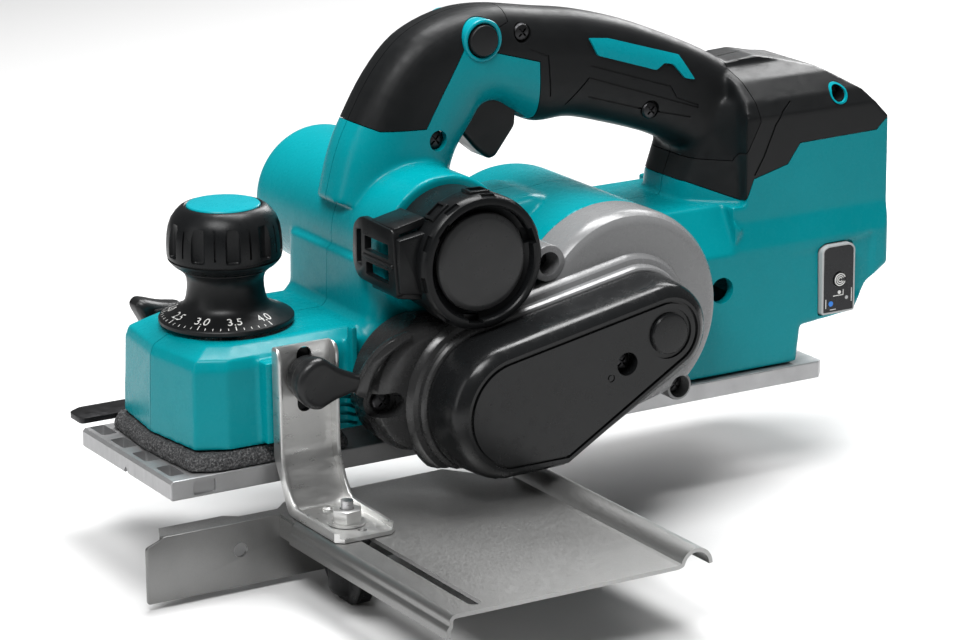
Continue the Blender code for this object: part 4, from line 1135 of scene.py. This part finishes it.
def lock_button():
    button = prism("lock_button_skin", circle(*LOCK, 6.5, 64), "y", -19, 19)
    soften(button, 0.9, 4)
    finish_piece(button, SATIN, "lock_button", "lock_button", 24)
    for (side, word), out in zip(SIDES, (0.0, -0.9)):
        profile = [(7.05, 13), (8.7 + out, 13), (8.75 + out, 17.2), (8.5 + out, 17.7), (7.9 + out / 2, 17.95),
                   (7.3, 17.7), (7.05, 17.2), (7.05, 13)]
        ring = lathe("lock_ring_" + word, LOCK, "y", [(r, side * y) for r, y in profile], 72)
        finish_piece(ring, INLAY, "body", None, 24)


def trigger():
    outline = rounded([(149.5, 124.5), (150.5, 131), (156, 135), (172, 134.5), (178, 130), (177.5, 121),
                       (172, 114), (168, 109), (165, 108.3), (159, 113), (153, 120)], 1.6)
    part = prism("trigger_skin", outline, "y", -7.6, 7.6)
    soften(part, 1.5, 3, lambda a, b: a.y * b.y > 0, 40)
    remesh(part, 0.6, 2, 0.4)
    finish_piece(part, TRIGGER, "trigger", "trigger", 35)


def lugs():
    """The cross hole of the battery end: a teal rim with a dark lining on each side."""
    for side, word in SIDES:
        for name, out, look, slot, profile in (
                ("lug_tube_", 0.25, INLAY, "teal_plastic",
                 [(3.5, 36), (4.25, 36), (4.25, 25), (0.8, 25), (0.8, 26.5), (3.5, 27), (3.5, 36)]),
                ("lug_lining_", -0.5, BLACK, "black_plastic",
                 [(2.85, 36), (3.45, 36), (3.45, 27.1), (0.8, 26.6), (0.8, 27.3), (2.85, 27.8), (2.85, 36)])):
            part = lathe(name + word, LUG, "y", [(r, side * y) for r, y in profile], 48)
            cut(part, shoulder(side, out))
            finish_piece(part, look, "body", None, 30)


def mode_panel():
    edge = [(309.6, 27.2), (327, 27.2), (327, 55.6), (324.4, 57.8), (312.4, 57.8), (309.6, 56)]
    panel = prism("mode_panel_skin", rounded(edge, 1.5), "y", -40.6, -37.2)
    soften(panel, 0.5, 3, lambda a, b: a.y < -40 and b.y < -40, 40)
    cut(panel, prism("field", grown(rounded(edge, 1.5), -0.9), "y", -45, -40.1))
    cut(panel, prism("hole", circle(*MODE, 3.4, 40), "y", -60, -30))
    finish_piece(panel, PANEL, "body", "mode_panel", 24)
    film = prism("mode_film", grown(rounded(edge, 1.5), -1.05), "y", -40.45, -40.15)
    cut(film, prism("hole", circle(*MODE, 3.5, 48), "y", -60, -30))
    finish_piece(film, LABEL, "body", None, 24)
    mode = lathe("mode_button_skin", MODE, "y", [(3.1, -37.6), (3.1, -40.7), (2.8, -41.0), (2.0, -41.1),
                                                 (0.5, -41.1)], 48)
    finish_piece(mode, LABEL, "mode_button", "mode_button", 24)
    mode_marks()


def mode_marks():
    """Plain rings, dots and bars printed on the button and the panel."""
    x, z = MODE
    for k, (r, start, end) in enumerate(((0.9, 30, 330), (1.75, 25, 335), (2.6, 20, 340))):
        band = arc(x, z, r + 0.22, start, end, 32) + arc(x, z, r - 0.22, end, start, 32)
        mark = prism("mode_arc_%d" % k, band, "y", -41.18, -40.95)
        finish_piece(mark, WHITE, "mode_button", None, 24)
    spots = ((314.4, 31.8, 1.15, BLUE), (318.8, 36.4, 0.8, WHITE), (322.6, 33.6, 0.8, PANEL))
    for k, (x, z, r, look) in enumerate(spots):
        dot = prism("mode_light_%d" % k, circle(x, z, r, 24), "y", -40.62, -40.4)
        finish_piece(dot, look, "body", None, 24)
    bars = ((315.6, 34.9, 320.6, 35.25), (320.6, 34.9, 320.95, 37.4), (311.6, 30.0, 311.95, 34.0),
            (325.0, 31.6, 325.35, 37.6), (314.0, 29.0, 317.0, 29.3))
    for k, (x0, z0, x1, z1) in enumerate(bars):
        bar = prism("mode_mark_%d" % k, [(x0, z0), (x1, z0), (x1, z1), (x0, z1)], "y", -40.62, -40.4)
        finish_piece(bar, WHITE, "body", None, 24)


def surface(part, x, z, side):
    """Sideways position of the piece's outer surface at a point of its side view."""
    hit, spot, _, _ = part.ray_cast(place(x, side * 90, z), (0, -side, 0))
    return spot.y / MM if hit else None


def dense(points, step, closed=False):
    """The line with points no more than about a step apart."""
    out = []
    count = len(points)
    for i in range(count if closed else count - 1):
        p, q = Vector(points[i]), Vector(points[(i + 1) % count])
        steps = max(1, round((q - p).length / step))
        out += [tuple(p.lerp(q, k / steps)) for k in range(steps)]
    return out if closed else out + [tuple(points[-1])]


def follow(name, part, points, width, side, out, deep):
    """A thin wall along a line, laid on the piece's curved side: out above the surface, deep below it."""
    line = dense(points, 1.3)
    loops, last = [], None
    for i, q in enumerate(line):
        along = (Vector(line[min(i + 1, len(line) - 1)]) - Vector(line[max(i - 1, 0)])).normalized()
        across = Vector((-along.y, along.x)) * width / 2
        left, right = Vector(q) + across, Vector(q) - across
        y = surface(part, *q, side)
        y = y if y is not None else last
        if y is None:
            continue
        last = y
        high, low = y + side * out, y - side * deep
        loops.append([(left.x, high, left.y), (right.x, high, right.y), (right.x, low, right.y),
                      (left.x, low, left.y)])
    return rings(name, loops) if len(loops) > 1 else None


def engrave(part, lines, side, width=0.7, deep=0.55):
    """Cuts thin grooves along lines of the piece's side."""
    for line in lines:
        wall = follow("line", part, line, width, side, 1.5, deep)
        if wall:
            cut(part, wall)


def inlay(name, part, outline, side, height, look):
    """A thin pad with a soft rim laid on the piece's curved side."""
    body = bmesh.new()
    body.faces.new([body.verts.new((x, z, 0)) for x, z in dense(rounded(outline, 0.8, 3), 1.4, True)])
    rim = set(body.verts)
    bmesh.ops.triangulate(body, faces=body.faces)
    for _ in range(2):
        inner = [e for e in body.edges if e.calc_length() > 2.2 and not e.is_boundary]
        bmesh.ops.subdivide_edges(body, edges=inner, cuts=1)
        bmesh.ops.triangulate(body, faces=body.faces)
    last = side * 16.5
    for vertex in body.verts:
        x, z = vertex.co.x, vertex.co.y
        y = surface(part, x, z, side)
        last = y if y is not None else last
        vertex.co = place(x, last + side * (0.05 if vertex in rim else height), z)
    data = bpy.data.meshes.new(name)
    body.to_mesh(data)
    body.free()
    pad = add(name, data)
    step = pad.modifiers.new("thick", "SOLIDIFY")
    step.thickness = 0.001
    step.offset = 0
    bake(pad)
    finish_piece(pad, look, "body", None, 40)


# Lines of the side view, as (x, z): the grip's grooves, the grip's teal stripe, the rear cap's seam.
HAND_LINES = (
    [(179.4, 154.3), (188, 150.4), (189.3, 133.2)],
    [(208.4, 144.1), (247.3, 130.8), (250.3, 125.7), (260.7, 121.3)],
    [(197.2, 128.7), (207.8, 139.1), (260.7, 120.3)],
    [(207.8, 130.9), (234, 122.6)], [(242, 120.4), (257.1, 116.6)],
)
STRIPE = [(207.9, 155.5), (217.3, 154.3), (252.0, 143.4), (258.8, 132.5), (254.0, 133.6), (248.7, 140.0),
          (244.2, 141.0), (240.0, 138.6), (211.4, 148.0)]
REAR_SEAM = [(296.5, 121.5), (291.5, 118.0), (287.5, 112.9), (281.7, 100.1), (277.0, 92.4)]


def side_details(pieces):
    bpy.context.view_layer.update()
    for side, word in SIDES:
        grip, cap = pieces["grip_" + word], pieces["rear_cap_" + word]
        inlay("grip_stripe_" + word, grip, STRIPE, side, 0.6, INLAY)
        engrave(grip, HAND_LINES, side)
        engrave(cap, [REAR_SEAM], side, 0.8, 0.6)


# ---------------------------------------------------------------- CAD nodes that keep their shape
KEPT = {
    BRIGHT: ("motor_shaft", "rotor", "motor_bearing_left", "motor_bearing_right", "drum_bearing_left",
             "drum_bearing_right", "cutter_drum", "blade_clamp_1", "blade_clamp_2", "adjusting_bolt",
             "foot_pin", "guide_bolt"),
    BLACK: ("fan", "switch_body", "terminal_block", "rear_foot"),
    SHOE: ("drive_pulley", "driven_pulley"),
    ZINC: ("blade_1", "blade_2"),
    COPPER: ("stator",),
    BELT: ("drive_belt",),
    BOARD: ("controller_board",),
}


def carry_over():
    for look, names in KEPT.items():
        for name in names:
            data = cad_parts[name].data
            if not data.materials:
                data.materials.append(look)
            for i in range(len(data.materials)):
                data.materials[i] = look


# ---------------------------------------------------------------- stage, lights, camera
# In metres and degrees.
CAMERA_SPOT = (-0.8108, -1.2713, 0.4646)
CAMERA_ANGLES = (-30.50, 16.12, -0.57)
CAMERA_LENS = 138.27
FLOOR_Z = -0.0387
FLOOR_REACH = 8
WORLD_STRENGTH = 0.13


def camera():
    """The main camera, set by its azimuth, elevation and roll."""
    data = bpy.data.cameras.new("camera")
    data.lens = CAMERA_LENS
    data.sensor_width = 36
    data.clip_start = 0.05
    item = add("camera", data)
    az, el, roll = (math.radians(v) for v in CAMERA_ANGLES)
    back = Vector((math.sin(az) * math.cos(el), -math.cos(az) * math.cos(el), math.sin(el)))
    right = (-back).cross(Vector((0, 0, 1))).normalized()
    up = right.cross(-back).normalized()
    across = right * math.cos(roll) + up * math.sin(roll)
    top = -right * math.sin(roll) + up * math.cos(roll)
    turn = Matrix((across, top, back)).transposed().to_4x4()
    item.matrix_world = Matrix.Translation(CAMERA_SPOT) @ turn
    bpy.context.scene.camera = item


def light(name, spot, aim, size, power):
    data = bpy.data.lights.new(name, "AREA")
    data.shape = "RECTANGLE"
    data.size, data.size_y = size
    data.energy = power
    item = add(name, data)
    item.location = spot
    item.rotation_euler = (Vector(aim) - Vector(spot)).to_track_quat("-Z", "Y").to_euler()


def studio():
    world = bpy.data.worlds.new("studio")
    bpy.context.scene.world = world
    world.use_nodes = True
    world.node_tree.nodes["Background"].inputs["Color"].default_value = (1, 1, 1, 1)
    world.node_tree.nodes["Background"].inputs["Strength"].default_value = WORLD_STRENGTH
    light("key", (-0.75, -0.55, 1.35), (0, 0, 0.05), (0.8, 0.5), 21)
    light("top", (0.15, 0.15, 1.3), (0, 0, 0.05), (0.8, 0.5), 25)
    light("rim", (0.9, 0.7, 0.8), (0, 0, 0.08), (0.5, 0.9), 14)
    light("side", (-1.3, 0.1, 0.5), (0, 0, 0.05), (0.4, 0.9), 2)
    data = bpy.data.meshes.new("floor")
    corners = [(x * FLOOR_REACH, y * FLOOR_REACH, FLOOR_Z) for x, y in ((-1, -1), (1, -1), (1, 1), (-1, 1))]
    data.from_pydata(corners, [], [(0, 1, 2, 3)])
    floor = add("floor", data)
    look, _, shader = blank("floor", 0.7)
    shader.inputs["Base Color"].default_value = (0.62, 0.62, 0.62, 1)
    data.materials.append(look)
    bpy.context.scene.view_settings.view_transform = "Standard"


camera()
studio()
side_details(casings())
belt_housing()
belt_cover()
chute()
knob()
front_shoe()
rear_shoe()
foam_strip()
guide_arm()
guide_plate()
guide_clamp()
levers()
depth_stop()
lock_button()
trigger()
screws()
lugs()
mode_panel()
carry_over()
